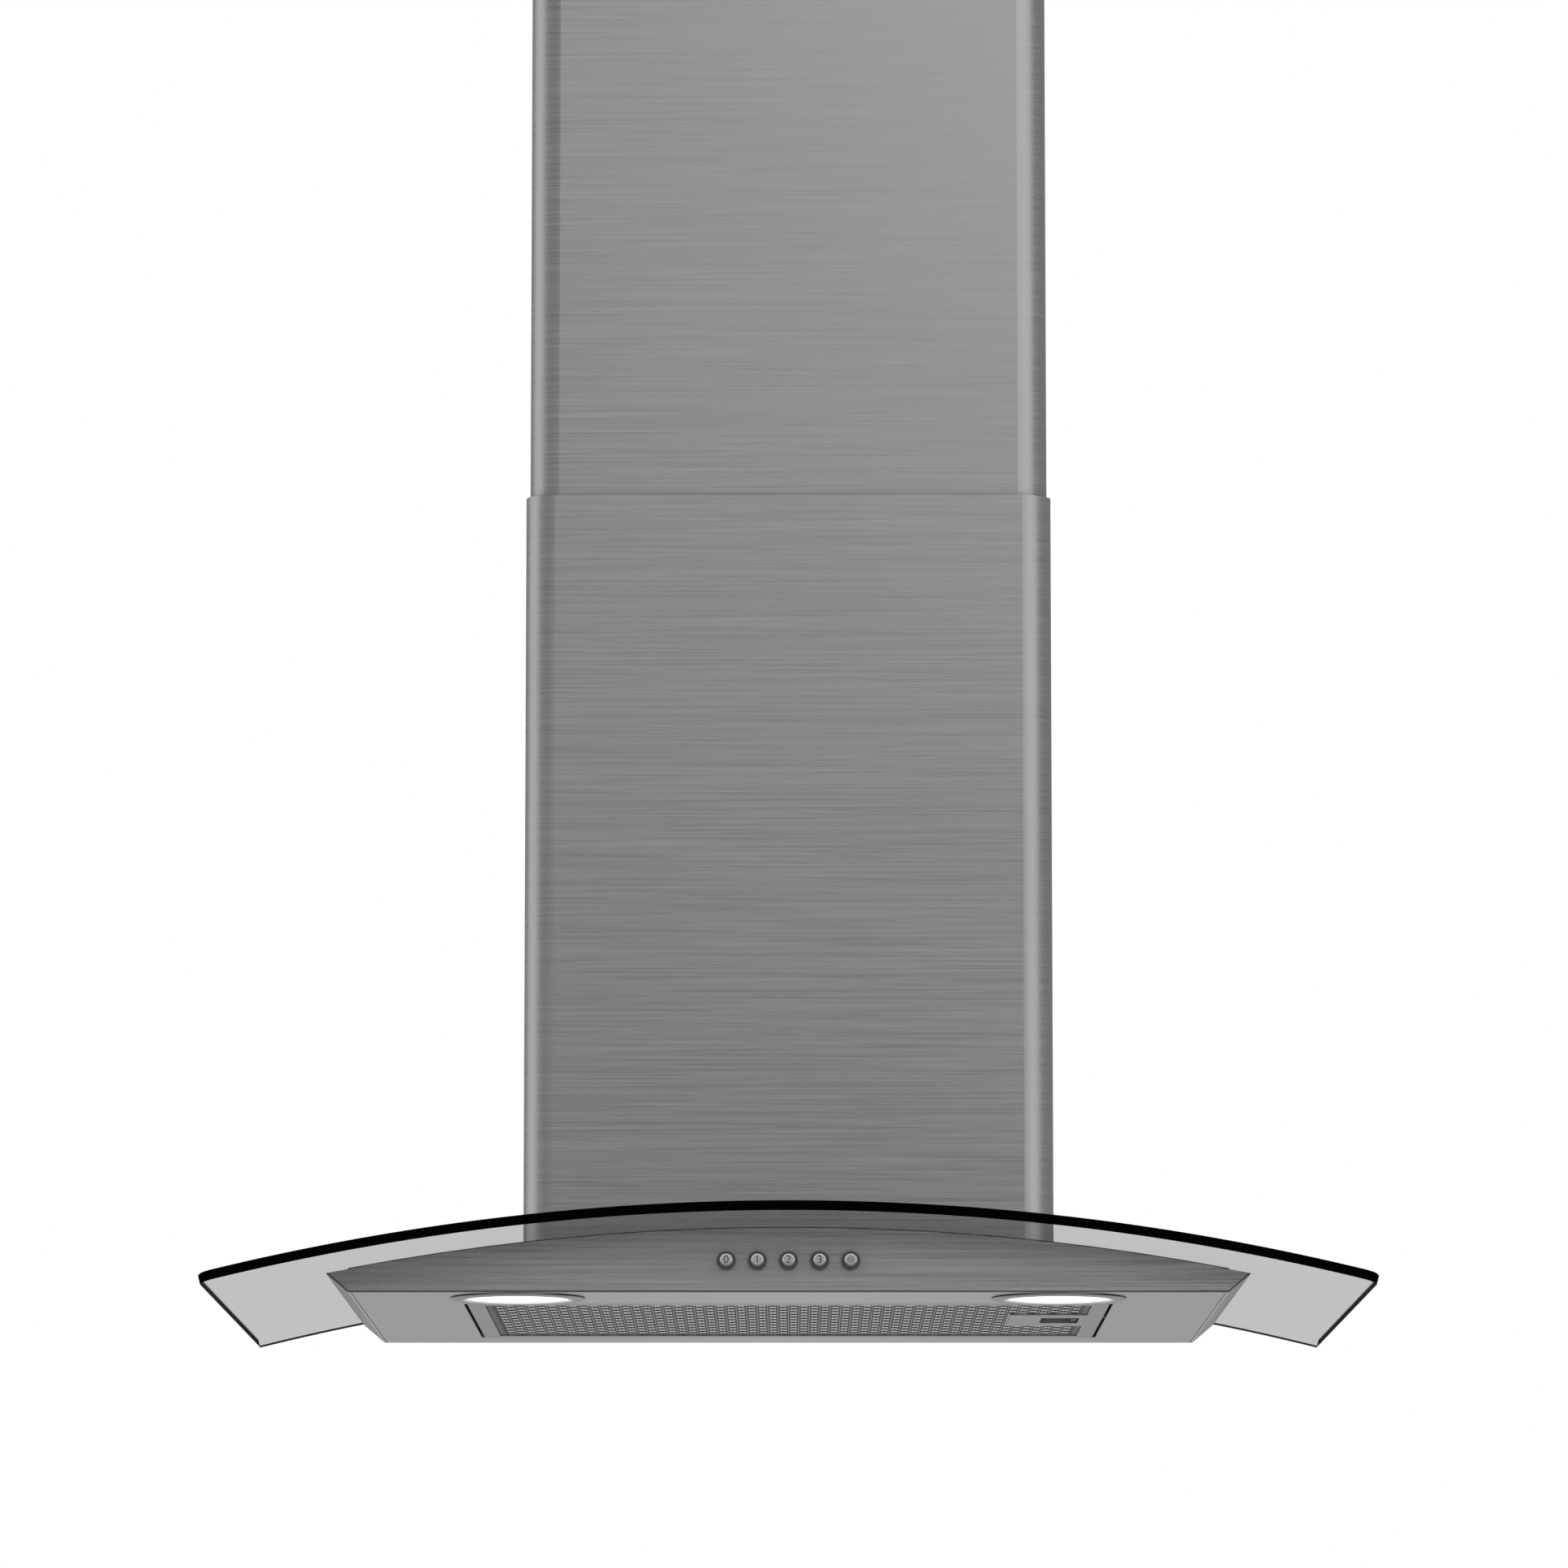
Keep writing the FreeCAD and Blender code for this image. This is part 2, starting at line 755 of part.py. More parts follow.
def cover_tabs():
    """Angles on the glass-side of the airbox that the outer cover is screwed to."""
    tabs = []
    for side in (-1, 1):
        inner = side * (cover_half - s.sheet - s.clamp_sheet)
        outer = side * (cover_half - s.sheet)
        y0 = -s.cover_tab_back - s.cover_tab_length / 2
        y1 = y0 + s.cover_tab_length
        low = arch_level(glass_top_radius, cover_half - s.sheet - s.clamp_reach) + s.seat_gap
        plate = ordered_block(inner, outer, y0, y1, low, cover_screw_level + s.cover_head_radius * 2, side)
        foot = ordered_block(side * airbox_half, outer, y0, y1, low, low + s.clamp_sheet, side)
        hole = rod("x", inner - s.overrun, -s.cover_tab_back, cover_screw_level, s.overrun * 2,
                   s.cover_screw_radius + s.running_gap)
        tabs.append(cut(join(plate, foot), hole))
    return group(*tabs)


def side_screws(wall, y, level):
    """A pair of pan head screws through the two sides of a cover."""
    screws = []
    for side in (-1, 1):
        face = side * wall
        tip = side * (wall - s.cover_screw_length)
        outside = side * (wall + s.cover_head_height)
        start = face if side > 0 else outside
        head = rod("x", start, y, level, s.cover_head_height, s.cover_head_radius)
        shank_start = tip if side > 0 else face
        shank = rod("x", shank_start, y, level, s.cover_screw_length, s.cover_screw_radius)
        screws.append(join(head, shank))
    return group(*screws)


def upper_chimney():
    """Inner chimney cover, which slides up and down inside the outer one."""
    owner = body()
    plan = sketch(owner, "XY_Plane", s.upper_bottom)
    cover_profile(plan, upper_half, upper_front, upper_back)
    pad(owner, plan, s.upper_length)
    doc.recompute()
    drill = sketch(owner, "YZ_Plane", -cover_half - s.overrun)
    circle(drill, upper_screw_y, upper_screw_level, s.cover_screw_radius + s.running_gap)
    pocket(owner, drill, s.cover_width + s.overrun * 2, reverse=True)
    return owner


def upper_bracket():
    """Stepped wall bracket that holds the top of the inner cover."""
    owner = body()
    t = s.upper_bracket_sheet
    half = s.upper_bracket_half
    step = upper_back - s.sheet - s.upper_bracket_step
    arm = upper_half - s.sheet - s.running_gap
    tip = step - s.upper_bracket_arm
    level = upper_top - s.upper_bracket_drop - s.upper_bracket_height
    plan = sketch(owner, "XY_Plane", level)
    outline(plan, [(-half, 0), (half, 0), (half, step), (arm, step), (arm, tip), (arm - t, tip),
                   (arm - t, step - t), (half - t, step - t), (half - t, -t),
                   (-half + t, -t), (-half + t, step - t), (-arm + t, step - t), (-arm + t, tip),
                   (-arm, tip), (-arm, step), (-half, step)])
    pad(owner, plan, s.upper_bracket_height)
    doc.recompute()
    wall_holes = sketch(owner, "XZ_Plane", -s.overrun)
    for side in (-1, 1):
        circle(wall_holes, side * s.upper_hole_spacing / 2, upper_screw_level, s.upper_hole_radius)
    pocket(owner, wall_holes, s.overrun * 2, reverse=True)
    doc.recompute()
    drill = sketch(owner, "YZ_Plane", -cover_half - s.overrun)
    circle(drill, upper_screw_y, upper_screw_level, s.cover_screw_radius + s.running_gap)
    pocket(owner, drill, s.cover_width + s.overrun * 2, reverse=True)
    return owner


hook_x = [side * s.hook_spacing / 2 for side in (-1, 1)]
rail_top = s.rail_bottom + s.rail_height
hook_level = rail_top - s.rail_sheet
airbox_back_wall = -s.airbox_back - s.box_sheet
hook_front = airbox_back_wall - s.hook_gap - s.rail_sheet


def airbox():
    """Open bottomed steel box that stands on the deck and holds the blower."""
    t = s.box_sheet
    low = flange_top
    shell = block(-airbox_half, airbox_half, -s.airbox_front, -s.airbox_back, low, s.airbox_top)
    room = block(-airbox_half + t, airbox_half - t, -s.airbox_front + t, -s.airbox_back - t,
                 low - s.overrun, s.airbox_top - t)
    walls = cut(shell, room)
    flange_slab = cut(arch_rod(deck_radius + t + s.running_gap, -s.airbox_front, -s.airbox_back),
                      block(-opening_half, opening_half, opening_front, opening_back,
                            -s.overrun, glass_top))
    flange = common(flange_slab, block(-airbox_half, airbox_half, -s.airbox_front, -s.airbox_back,
                                       low, s.airbox_top))
    holes = [arch_rod(deck_radius + s.running_gap, -s.airbox_front - s.overrun, s.overrun)]
    holes += [rod("z", x, y, low, s.overrun * 6, s.airbox_screw_radius + s.running_gap)
              for x, y in airbox_screw_places]
    holes.append(rod("z", 0, outlet_y, s.airbox_top - t * 2, t * 3, collar_bore))
    holes.append(rod("z", -s.gland_side, -s.gland_back, s.airbox_top - t * 2, t * 3,
                     s.gland_radius + s.running_gap))
    holes += [block(x - s.hook_width / 2 - s.hook_gap, x + s.hook_width / 2 + s.hook_gap,
                    -s.airbox_back - s.overrun, 0, hook_level - s.hook_rise - s.hook_drop,
                    rail_top + s.seat_gap) for x in hook_x]
    return cut(join(walls, flange), *holes)


def airbox_screws():
    """Screws that hold the airbox's flange down on the deck."""
    screws = []
    for x, y in airbox_screw_places:
        seat = seat_level(deck_radius + s.running_gap + s.box_sheet, x, s.airbox_head_radius)
        head = rod("z", x, y, seat, s.airbox_head_height, s.airbox_head_radius)
        shank = rod("z", x, y, seat - s.airbox_screw_length, s.airbox_screw_length,
                    s.airbox_screw_radius)
        screws.append(join(head, shank))
    return group(*screws)


def wall_rail():
    """Rail screwed to the wall, with two upturned hooks that pass into the airbox's back."""
    plate = block(-s.rail_width / 2, s.rail_width / 2, -s.rail_sheet, 0, s.rail_bottom, rail_top)
    pieces = [plate]
    for x in hook_x:
        x0 = x - s.hook_width / 2
        x1 = x + s.hook_width / 2
        pieces.append(block(x0, x1, hook_front, 0, hook_level, rail_top))
        pieces.append(block(x0, x1, hook_front, hook_front + s.rail_sheet, hook_level,
                            rail_top + s.hook_rise))
    level = s.rail_bottom + s.rail_height / 2
    holes = [rod("y", side * s.rail_hole_spacing / 2, -s.overrun, level, s.overrun * 2,
                 s.rail_hole_radius) for side in (-1, 1)]
    return cut(join(*pieces), *holes)


def scroll_outline(drawing, grow, top):
    """Scroll seen from the side: three quarter arcs that widen by a step each, and the outlet."""
    g = s.scroll_step
    first = s.scroll_start_radius + grow
    second = first + g
    third = second + g
    y_in = fan_y + g / 2
    y_out = fan_y - g / 2
    z_low = fan_z - g / 2
    z_high = fan_z + g / 2
    outline(drawing, [
        (y_in, top), (y_out - third, top), (y_out - third, z_high),
        (y_out, z_high - third, third, 1), (y_out + second, z_low, second, 1),
        (y_in, z_low + first, first, 1)])


def blower_scroll():
    """Moulded double inlet fan housing with its outlet under the airbox's top."""
    owner = body()
    top = s.airbox_top - s.box_sheet - s.seat_gap
    lip_low = top - s.scroll_lip_height
    shell = sketch(owner, "YZ_Plane", -scroll_half)
    scroll_outline(shell, s.scroll_wall, top)
    pad(owner, shell, s.scroll_width)
    lip = sketch(owner, "XY_Plane", lip_low)
    reach = s.scroll_lip
    rectangle(lip, -scroll_half - reach, scroll_half + reach,
              outlet_front - s.scroll_wall - s.scroll_front_lip, outlet_back + reach)
    pad(owner, lip, s.scroll_lip_height)
    doc.recompute()
    room = sketch(owner, "YZ_Plane", -scroll_half + s.scroll_wall)
    scroll_outline(room, 0, top + s.overrun)
    pocket(owner, room, s.scroll_width - s.scroll_wall * 2, reverse=True)
    inlets = sketch(owner, "YZ_Plane", -scroll_half - s.overrun)
    circle(inlets, fan_y, fan_z, s.inlet_radius)
    pocket(owner, inlets, s.scroll_width + s.overrun * 2, reverse=True)
    return owner


def fan_cage(side):
    """One half of the squirrel cage wheel: a ring at each end and swept blades."""
    owner = body()
    inner = s.wheel_radius - s.blade_depth
    near = s.wheel_disc / 2 + s.running_gap
    far = s.wheel_length / 2
    start, end = (near, far) if side > 0 else (-far, -near)
    for left in (start, end - s.wheel_ring):
        ring = sketch(owner, "YZ_Plane", left)
        circle(ring, 0, 0, s.wheel_radius)
        circle(ring, 0, 0, inner)
        pad(owner, ring, s.wheel_ring)
    blade = sketch(owner, "YZ_Plane", start + s.wheel_ring / 2)
    low = inner + s.blade_inset
    high = s.wheel_radius - s.blade_inset
    outline(blade, [(0, low), (s.blade_thickness, low), (s.blade_sweep + s.blade_thickness, high),
                    (s.blade_sweep, high)])
    first = pad(owner, blade, far - near - s.wheel_ring)
    polar_pattern(owner, first, "X_Axis", BLADES)
    return place(owner, 0, fan_y, fan_z)


def fan_hub():
    """Disc between the two halves of the wheel, with the hub that sits on the shaft."""
    owner = body()
    for length, radius in ((s.wheel_disc, s.wheel_radius), (s.hub_length, s.hub_radius)):
        drawing = sketch(owner, "YZ_Plane", -length / 2)
        circle(drawing, 0, 0, radius)
        circle(drawing, 0, 0, s.shaft_radius + s.running_gap)
        pad(owner, drawing, length)
    return place(owner, 0, fan_y, fan_z)


def fan_shaft():
    """Steel shaft from the wheel's hub into the motor."""
    return rod("x", -s.shaft_front, fan_y, fan_z, s.shaft_front + s.shaft_back, s.shaft_radius)


def fan_nut():
    """Hexagonal nut that clamps the wheel on its shaft."""
    owner = body()
    drawing = sketch(owner, "YZ_Plane", -s.hub_length / 2 - s.running_gap - s.nut_length)
    r = s.nut_radius
    flat = r * root(r * r * 3) / (r * 2)
    outline(drawing, [(r, 0), (r / 2, flat), (-r / 2, flat), (-r, 0), (-r / 2, -flat), (r / 2, -flat)])
    circle(drawing, 0, 0, s.shaft_radius + s.running_gap)
    pad(owner, drawing, s.nut_length)
    return place(owner, 0, fan_y, fan_z)


def motor():
    """Induction motor, half inside the wheel, with a bore for the shaft."""
    can = rod("x", s.motor_start, fan_y, fan_z, s.motor_length, s.motor_radius)
    cap = rod("x", s.motor_start + s.motor_length, fan_y, fan_z, s.motor_cap_length,
              s.motor_cap_radius)
    bore = rod("x", s.motor_start - s.overrun, fan_y, fan_z,
               s.shaft_back - s.motor_start + s.overrun + s.seat_gap, s.shaft_radius + s.running_gap)
    return cut(join(can, cap), bore)


def motor_bracket():
    """Three armed plate that hangs the motor in the right inlet."""
    owner = body()
    hole = s.motor_radius + s.running_gap
    ring_outer = hole + s.bracket_ring
    ring = sketch(owner, "YZ_Plane", scroll_half + s.running_gap)
    circle(ring, 0, 0, ring_outer)
    circle(ring, 0, 0, hole)
    pad(owner, ring, s.bracket_plate)
    arm = sketch(owner, "YZ_Plane", scroll_half + s.running_gap)
    inner = hole + s.bracket_ring / 2
    rectangle(arm, -s.bracket_arm / 2, s.bracket_arm / 2, inner, s.bracket_reach)
    first = pad(owner, arm, s.bracket_plate)
    polar_pattern(owner, first, "X_Axis", BRACKET_ARMS)
    return place(owner, 0, fan_y, fan_z)


def outlet_collar():
    """Round spigot for the duct, with a ledge that the flaps rest on."""
    base = s.airbox_top
    flange = rod("z", 0, outlet_y, base, s.collar_flange, s.collar_flange_radius)
    tube = rod("z", 0, outlet_y, base, s.outlet_height, s.outlet_radius)
    ledge_top = flap_z - s.flap_thickness / 2 - s.seat_gap
    throat = rod("z", 0, outlet_y, base - s.overrun, s.outlet_height, collar_bore - s.flap_ledge)
    above = rod("z", 0, outlet_y, ledge_top, s.outlet_height, collar_bore)
    below = rod("z", 0, outlet_y, base - s.overrun,
                ledge_top - s.flap_ledge_height - base + s.overrun, collar_bore)
    rod_room = s.flap_axis_offset + s.flap_rod_radius + s.seat_gap
    relief = block(-collar_bore, collar_bore, outlet_y - rod_room, outlet_y + rod_room,
                   base + s.collar_flange, ledge_top + s.overrun)
    pin_holes = [rod("x", -s.outlet_radius - s.overrun, outlet_y + side * s.flap_axis_offset, flap_z,
                     (s.outlet_radius + s.overrun) * 2, s.flap_pin_radius + s.running_gap)
                 for side in (-1, 1)]
    return cut(join(flange, tube), throat, above, below, common(relief, above_bore(base)), *pin_holes)


def above_bore(base):
    """The collar's full bore, which bounds the relief for the flap rods."""
    return rod("z", 0, outlet_y, base, s.outlet_height, collar_bore)


def flap(side):
    """Half disc that closes one half of the collar, with its hinge rod and pins."""
    axis_y = outlet_y + side * s.flap_axis_offset
    disc = rod("z", 0, outlet_y, flap_z - s.flap_thickness / 2, s.flap_thickness,
               collar_bore - s.flap_edge_gap)
    reach = s.outlet_radius + s.overrun
    if side > 0:
        half = block(-reach, reach, axis_y, outlet_y + reach, flap_z - s.overrun, flap_z + s.overrun)
    else:
        half = block(-reach, reach, outlet_y - reach, axis_y, flap_z - s.overrun, flap_z + s.overrun)
    rod_half = collar_bore - s.flap_edge_gap
    hinge_rod = rod("x", -rod_half, axis_y, flap_z, rod_half * 2, s.flap_rod_radius)
    pin_half = s.outlet_radius - s.seat_gap
    pins = rod("x", -pin_half, axis_y, flap_z, pin_half * 2, s.flap_pin_radius)
    return join(common(disc, half), hinge_rod, pins)


def terminal_box():
    """Closed plastic box for the mains terminals, on the airbox's left wall."""
    x0 = -airbox_half + s.box_sheet + s.running_gap
    y0 = -s.terminal_box_front
    z0 = s.terminal_box_level
    shell = block(x0, x0 + s.terminal_box_width, y0, y0 + s.terminal_box_depth,
                  z0, z0 + s.terminal_box_height)
    wall = s.terminal_box_wall
    room = block(x0 + wall, x0 + s.terminal_box_width - wall, y0 + wall,
                 y0 + s.terminal_box_depth - wall, z0 + wall, z0 + s.terminal_box_height - wall)
    return cut(shell, room)


def capacitor():
    """Motor run capacitor, upright against the airbox's left wall, with a terminal stub."""
    x = -airbox_half + s.box_sheet + s.seat_gap + s.capacitor_radius
    can = rod("z", x, -s.capacitor_back, s.capacitor_level, s.capacitor_length, s.capacitor_radius)
    stub = rod("z", x, -s.capacitor_back, s.capacitor_level, s.capacitor_length + s.capacitor_stub,
               s.capacitor_stub_radius)
    return join(can, stub)


def cable_gland():
    """Rubber bush in the airbox's top where the mains lead comes out."""
    t = s.box_sheet
    bottom = s.airbox_top - t - s.gland_flange_height
    wide = s.gland_radius + s.gland_flange
    lower = rod("z", -s.gland_side, -s.gland_back, bottom, s.gland_flange_height, wide)
    upper = rod("z", -s.gland_side, -s.gland_back, s.airbox_top, s.gland_flange_height, wide)
    neck = rod("z", -s.gland_side, -s.gland_back, bottom, s.gland_flange_height + t, s.gland_radius)
    bore = rod("z", -s.gland_side, -s.gland_back, bottom - s.overrun, s.overrun * 4, s.gland_bore)
    return cut(join(lower, upper, neck), bore)


bezel_bore = s.button_radius + s.button_gap
bank_front = fascia_y + s.sheet + s.bezel_depth


def switch_bank():
    """Row of five switches in one housing behind the fascia."""
    half = s.button_pitch * 2 + s.bank_margin
    housing = block(-half, half, bank_front, bank_front + s.bank_depth, s.bank_bottom, s.bank_top)
    bores = []
    for x in button_x:
        bores.append(rod("y", x, bank_front - s.overrun, s.button_level,
                         s.overrun + s.button_skirt + s.button_travel + s.seat_gap, bezel_bore))
        bores.append(rod("y", x, bank_front, s.button_level,
                         s.button_skirt + s.button_stem + s.button_travel + s.seat_gap,
                         s.button_stem_radius + s.button_gap))
    return cut(housing, *bores)


def switch_bracket():
    """Folded plate on the back of the fascia that carries the switch row."""
    half = s.bank_bracket_width / 2
    inner = fascia_y + s.sheet
    low = s.bank_top
    shelf = block(-half, half, inner, bank_front + s.bank_depth, low, low + s.sheet)
    lug = block(-half, half, inner, inner + s.sheet, low, low + s.bank_bracket_height)
    return join(shelf, lug)


def button_bezels():
    """Chromed rings round the buttons, with sleeves through the fascia."""
    rings = []
    for x in button_x:
        flange = rod("y", x, fascia_y - s.bezel_reach, s.button_level, s.bezel_reach, s.bezel_radius)
        sleeve = rod("y", x, fascia_y - s.bezel_reach, s.button_level,
                     s.bezel_reach + s.sheet + s.bezel_depth, bezel_bore + s.bezel_sleeve)
        bore = rod("y", x, fascia_y - s.overrun, s.button_level, s.overrun * 2, bezel_bore)
        rings.append(cut(join(flange, sleeve), bore))
    return group(*rings)


def button(x):
    """Turned cap with a rounded face, a skirt inside the bezel and a stem into its switch."""
    owner = body()
    drawing = sketch(owner, "XY_Plane")
    base = s.button_reach + s.sheet + s.bezel_depth + s.button_skirt
    neck = s.bezel_reach
    taper = s.button_radius
    face = s.button_face_radius
    soft = s.button_round
    outline(drawing, [
        (0, -s.button_reach), (face - soft, -s.button_reach), (face, -s.button_reach + soft, soft, 1),
        (taper, -neck), (taper, base - s.button_reach), (s.button_stem_radius, base - s.button_reach),
        (s.button_stem_radius, base - s.button_reach + s.button_stem),
        (0, base - s.button_reach + s.button_stem)])
    revolve(owner, drawing, "Y_Axis")
    return place(owner, x, fascia_y, s.button_level)


lens_radius = s.lamp_window_radius - s.lens_gap
lamp_inner = s.lamp_sleeve_radius - s.lamp_sleeve_wall


def lamp_bezel(x):
    """Turned trim ring with a rounded rim and a sleeve up through the panel."""
    owner = body()
    drawing = sketch(owner, "XZ_Plane")
    low = -s.lamp_proud
    rim = s.lamp_radius
    outline(drawing, [
        (s.lamp_window_radius, low), (rim - s.lamp_proud, low), (rim, 0, s.lamp_proud, 1),
        (s.lamp_sleeve_radius, 0), (s.lamp_sleeve_radius, s.lamp_sleeve_height),
        (lamp_inner, s.lamp_sleeve_height), (lamp_inner, 0), (s.lamp_window_radius, 0)])
    revolve(owner, drawing)
    return place(owner, x, lamp_y, 0)


def lamp_lens(x):
    """Frosted lens that rests on the trim ring by its lip."""
    low = -s.lamp_proud + s.lens_recess
    window = rod("z", x, lamp_y, low, s.lens_lip_height - low, lens_radius)
    lip = rod("z", x, lamp_y, s.running_gap, s.lens_lip_height - s.running_gap,
              lens_radius + s.lens_lip)
    return join(window, lip)


def lamp_can(x):
    """Closed metal can with the light source, pushed into the sleeve."""
    can = rod("z", x, lamp_y, s.lens_lip_height, s.lamp_can_height - s.lens_lip_height,
              lamp_inner - s.lens_gap)
    room_low = s.lens_lip_height - s.overrun
    room = rod("z", x, lamp_y, room_low, s.lamp_can_height - room_low - s.lamp_sleeve_wall,
               lamp_inner - s.lens_gap - s.lamp_sleeve_wall)
    return cut(can, room)


handle_y0 = -s.handle_middle - s.handle_depth / 2
handle_y1 = -s.handle_middle + s.handle_depth / 2
recess_y0 = -s.handle_middle - s.recess_depth / 2
recess_y1 = -s.handle_middle + s.recess_depth / 2
face_low = s.filter_lip_sheet
face_top = face_low + s.face_sheet
back_top = s.filter_height - s.filter_lip_sheet
back_low = back_top - s.face_sheet
inner_half = filter_half - s.filter_wall - s.running_gap
inner_y0 = filter_y0 + s.filter_wall + s.running_gap
inner_y1 = filter_y1 - s.filter_wall - s.running_gap
window_half = filter_half - s.filter_side_lip
window_y0 = filter_y0 + s.filter_end_lip
window_y1 = filter_y1 - s.filter_end_lip
latch_y0 = -s.handle_middle - s.latch_width / 2
latch_y1 = -s.handle_middle + s.latch_width / 2
pin_x = -filter_half + s.filter_edge_radius
pin_z = s.filter_edge_radius
latch_top = s.latch_bottom + s.latch_thickness
cup_wall = s.recess_wall + s.running_gap


def filter_frame():
    """Rolled aluminium channel round the filter, with soft lower edges along its sides."""
    r = s.filter_edge_radius
    rail = block(-filter_half, filter_half, filter_y0, filter_y1, 0, s.filter_height)
    window = block(-window_half, window_half, window_y0, window_y1, -s.overrun,
                   s.filter_height + s.overrun)
    room = block(-filter_half + s.filter_wall, filter_half - s.filter_wall,
                 filter_y0 + s.filter_wall, filter_y1 - s.filter_wall, face_low, back_top)
    soften = []
    for side in (-1, 1):
        edge = side * filter_half
        inward = edge - side * r
        strip = ordered_block(inward, edge + side * s.overrun, filter_y0 - s.overrun,
                              filter_y1 + s.overrun, -s.overrun, r, side)
        soften.append(cut(strip, rod("y", inward, filter_y0 - s.overrun * 2, r,
                                     s.filter_depth + s.overrun * 4, r)))
    slot = block(filter_half - s.filter_wall - s.overrun, filter_half + s.overrun,
                 latch_y0 - s.latch_gap, latch_y1 + s.latch_gap, s.latch_bottom - s.latch_gap,
                 latch_top + s.latch_gap)
    pin_holes = [rod("y", pin_x, filter_y0 - s.overrun, pin_z, s.overrun + s.filter_wall, s.pin_radius),
                 rod("y", pin_x, filter_y1 - s.filter_wall, pin_z, s.overrun + s.filter_wall,
                     s.pin_radius)]
    return cut(rail, window, room, slot, *soften, *pin_holes)


def slotted_sheet(level, pitch_x, pitch_y, slot_width, slot_length, solid_area, recess):
    """Sheet with staggered six-sided slots, none in the solid area, and a hole for the recess."""
    thickness = value_of(s.face_sheet)
    x_edge = value_of(inner_half)
    y0 = value_of(inner_y0)
    y1 = value_of(inner_y1)
    wide = value_of(slot_width) / 2
    tall = value_of(slot_length) / 2
    margin = value_of(s.slot_margin)
    columns = int((value_of(window_half) * 2 - margin) // value_of(pitch_x))
    rows = int((value_of(window_y1 - window_y0) - margin) // value_of(pitch_y)) + 1
    middle = value_of(window_y0 + window_y1) / 2
    k0, k1 = solid_area[2:]
    rx0, rx1, ry0, ry1 = recess
    wires = [closed_wire([(-x_edge, y0), (x_edge, y0), (x_edge, y1), (-x_edge, y1)]),
             closed_wire([(rx0, ry0), (rx0, ry1), (rx1, ry1), (rx1, ry0)])]
    for column in range(columns):
        x = (column - (columns - 1) / 2) * value_of(pitch_x)
        for row in range(-rows, rows + 1):
            y = middle + (row + (column % 2) / 2) * value_of(pitch_y)
            low = max(y - tall, value_of(window_y0) + margin / 2)
            high = min(y + tall, value_of(window_y1) - margin / 2)
            beside = solid_area[0] - wide < x < solid_area[1] + wide
            if beside and low < k1 and high > k0:
                if y < (k0 + k1) / 2:
                    high = min(high, k0)
                else:
                    low = max(low, k1)
            if high - low < wide * 3:
                continue
            wires.append(closed_wire([(x - wide, low + wide), (x - wide, high - wide), (x, high),
                                      (x + wide, high - wide), (x + wide, low + wide), (x, low)]))
    face = Part.Face(wires)
    plate = face.extrude(FreeCAD.Vector(0, 0, thickness))
    plate.translate(FreeCAD.Vector(0, 0, value_of(level)))
    return plate


def closed_wire(corners):
    points = [FreeCAD.Vector(x, y, 0) for x, y in corners]
    return Part.makePolygon(points + points[:1])


def cup_room(gap):
    """Left, right, front and back of the finger cup, with a gap all round."""
    wall = s.recess_wall + gap
    edges = (s.recess_left - wall, s.recess_right + wall, recess_y0 - wall, recess_y1 + wall)
    return tuple(value_of(edge) for edge in edges)


def filter_face():
    """Perforated sheet that shows from below, solid behind the handle plate."""
    solid_area = tuple(value_of(edge) for edge in (s.handle_left, filter_half, handle_y0, handle_y1))
    feature = doc.addObject("Part::Feature", "filter_face_shape")
    feature.Shape = slotted_sheet(face_low, s.slot_pitch_x, s.slot_pitch_y, s.slot_width,
                                  s.slot_length, solid_area, cup_room(s.running_gap))
    return feature


def filter_back():
    """Open backing sheet that keeps the mesh in its frame."""
    room = cup_room(s.recess_wall * 2)
    solid_area = (room[0], value_of(filter_half), room[2], room[3])
    feature = doc.addObject("Part::Feature", "filter_back_shape")
    feature.Shape = slotted_sheet(back_low, s.back_slot_pitch_x, s.back_slot_pitch_y,
                                  s.back_slot_width, s.back_slot_length, solid_area,
                                  cup_room(s.running_gap))
    return feature


def filter_mesh():
    """Folded layer of expanded aluminium mesh between the two sheets."""
    owner = body()
    folds = sketch(owner, "XZ_Plane", -inner_y1 + s.mesh_gap)
    gap = s.mesh_gap
    low = face_top + gap
    high = back_low - gap
    width = (inner_half - gap) * 2
    over = []
    under = []
    for index in range(MESH_FOLDS + 1):
        x = -inner_half + gap + width * index / MESH_FOLDS
        level = high if index % 2 else low + s.mesh_sheet
        over.append((x, level))
        under.append((x, level - s.mesh_sheet))
    outline(folds, under + over[::-1])
    pad(owner, folds, inner_y1 - inner_y0 - gap * 2)
    doc.recompute()
    room = sketch(owner, "XY_Plane")
    wall = s.recess_wall + gap
    rectangle(room, s.recess_left - wall, filter_half, recess_y0 - wall, recess_y1 + wall)
    pocket(owner, room, s.filter_height, reverse=True)
    return owner


def filter_handle():
    """Flush plate with a finger cup, riveted to the perforated sheet."""
    wall = s.recess_wall
    right = window_half - s.running_gap
    plate = block(s.handle_left, right, handle_y0, handle_y1, 0, face_low)
    cup = block(s.recess_left - wall, s.recess_right + wall, recess_y0 - wall, recess_y1 + wall,
                0, s.recess_top)
    hollow = block(s.recess_left, s.recess_right, recess_y0, recess_y1, -s.overrun, s.recess_top - wall)
    slot = block(s.recess_right - wall, s.recess_right + wall * 2, latch_y0 - s.latch_gap,
                 latch_y1 + s.latch_gap, s.latch_bottom - s.latch_gap, latch_top + s.latch_gap)
    return cut(join(plate, cup), hollow, slot)


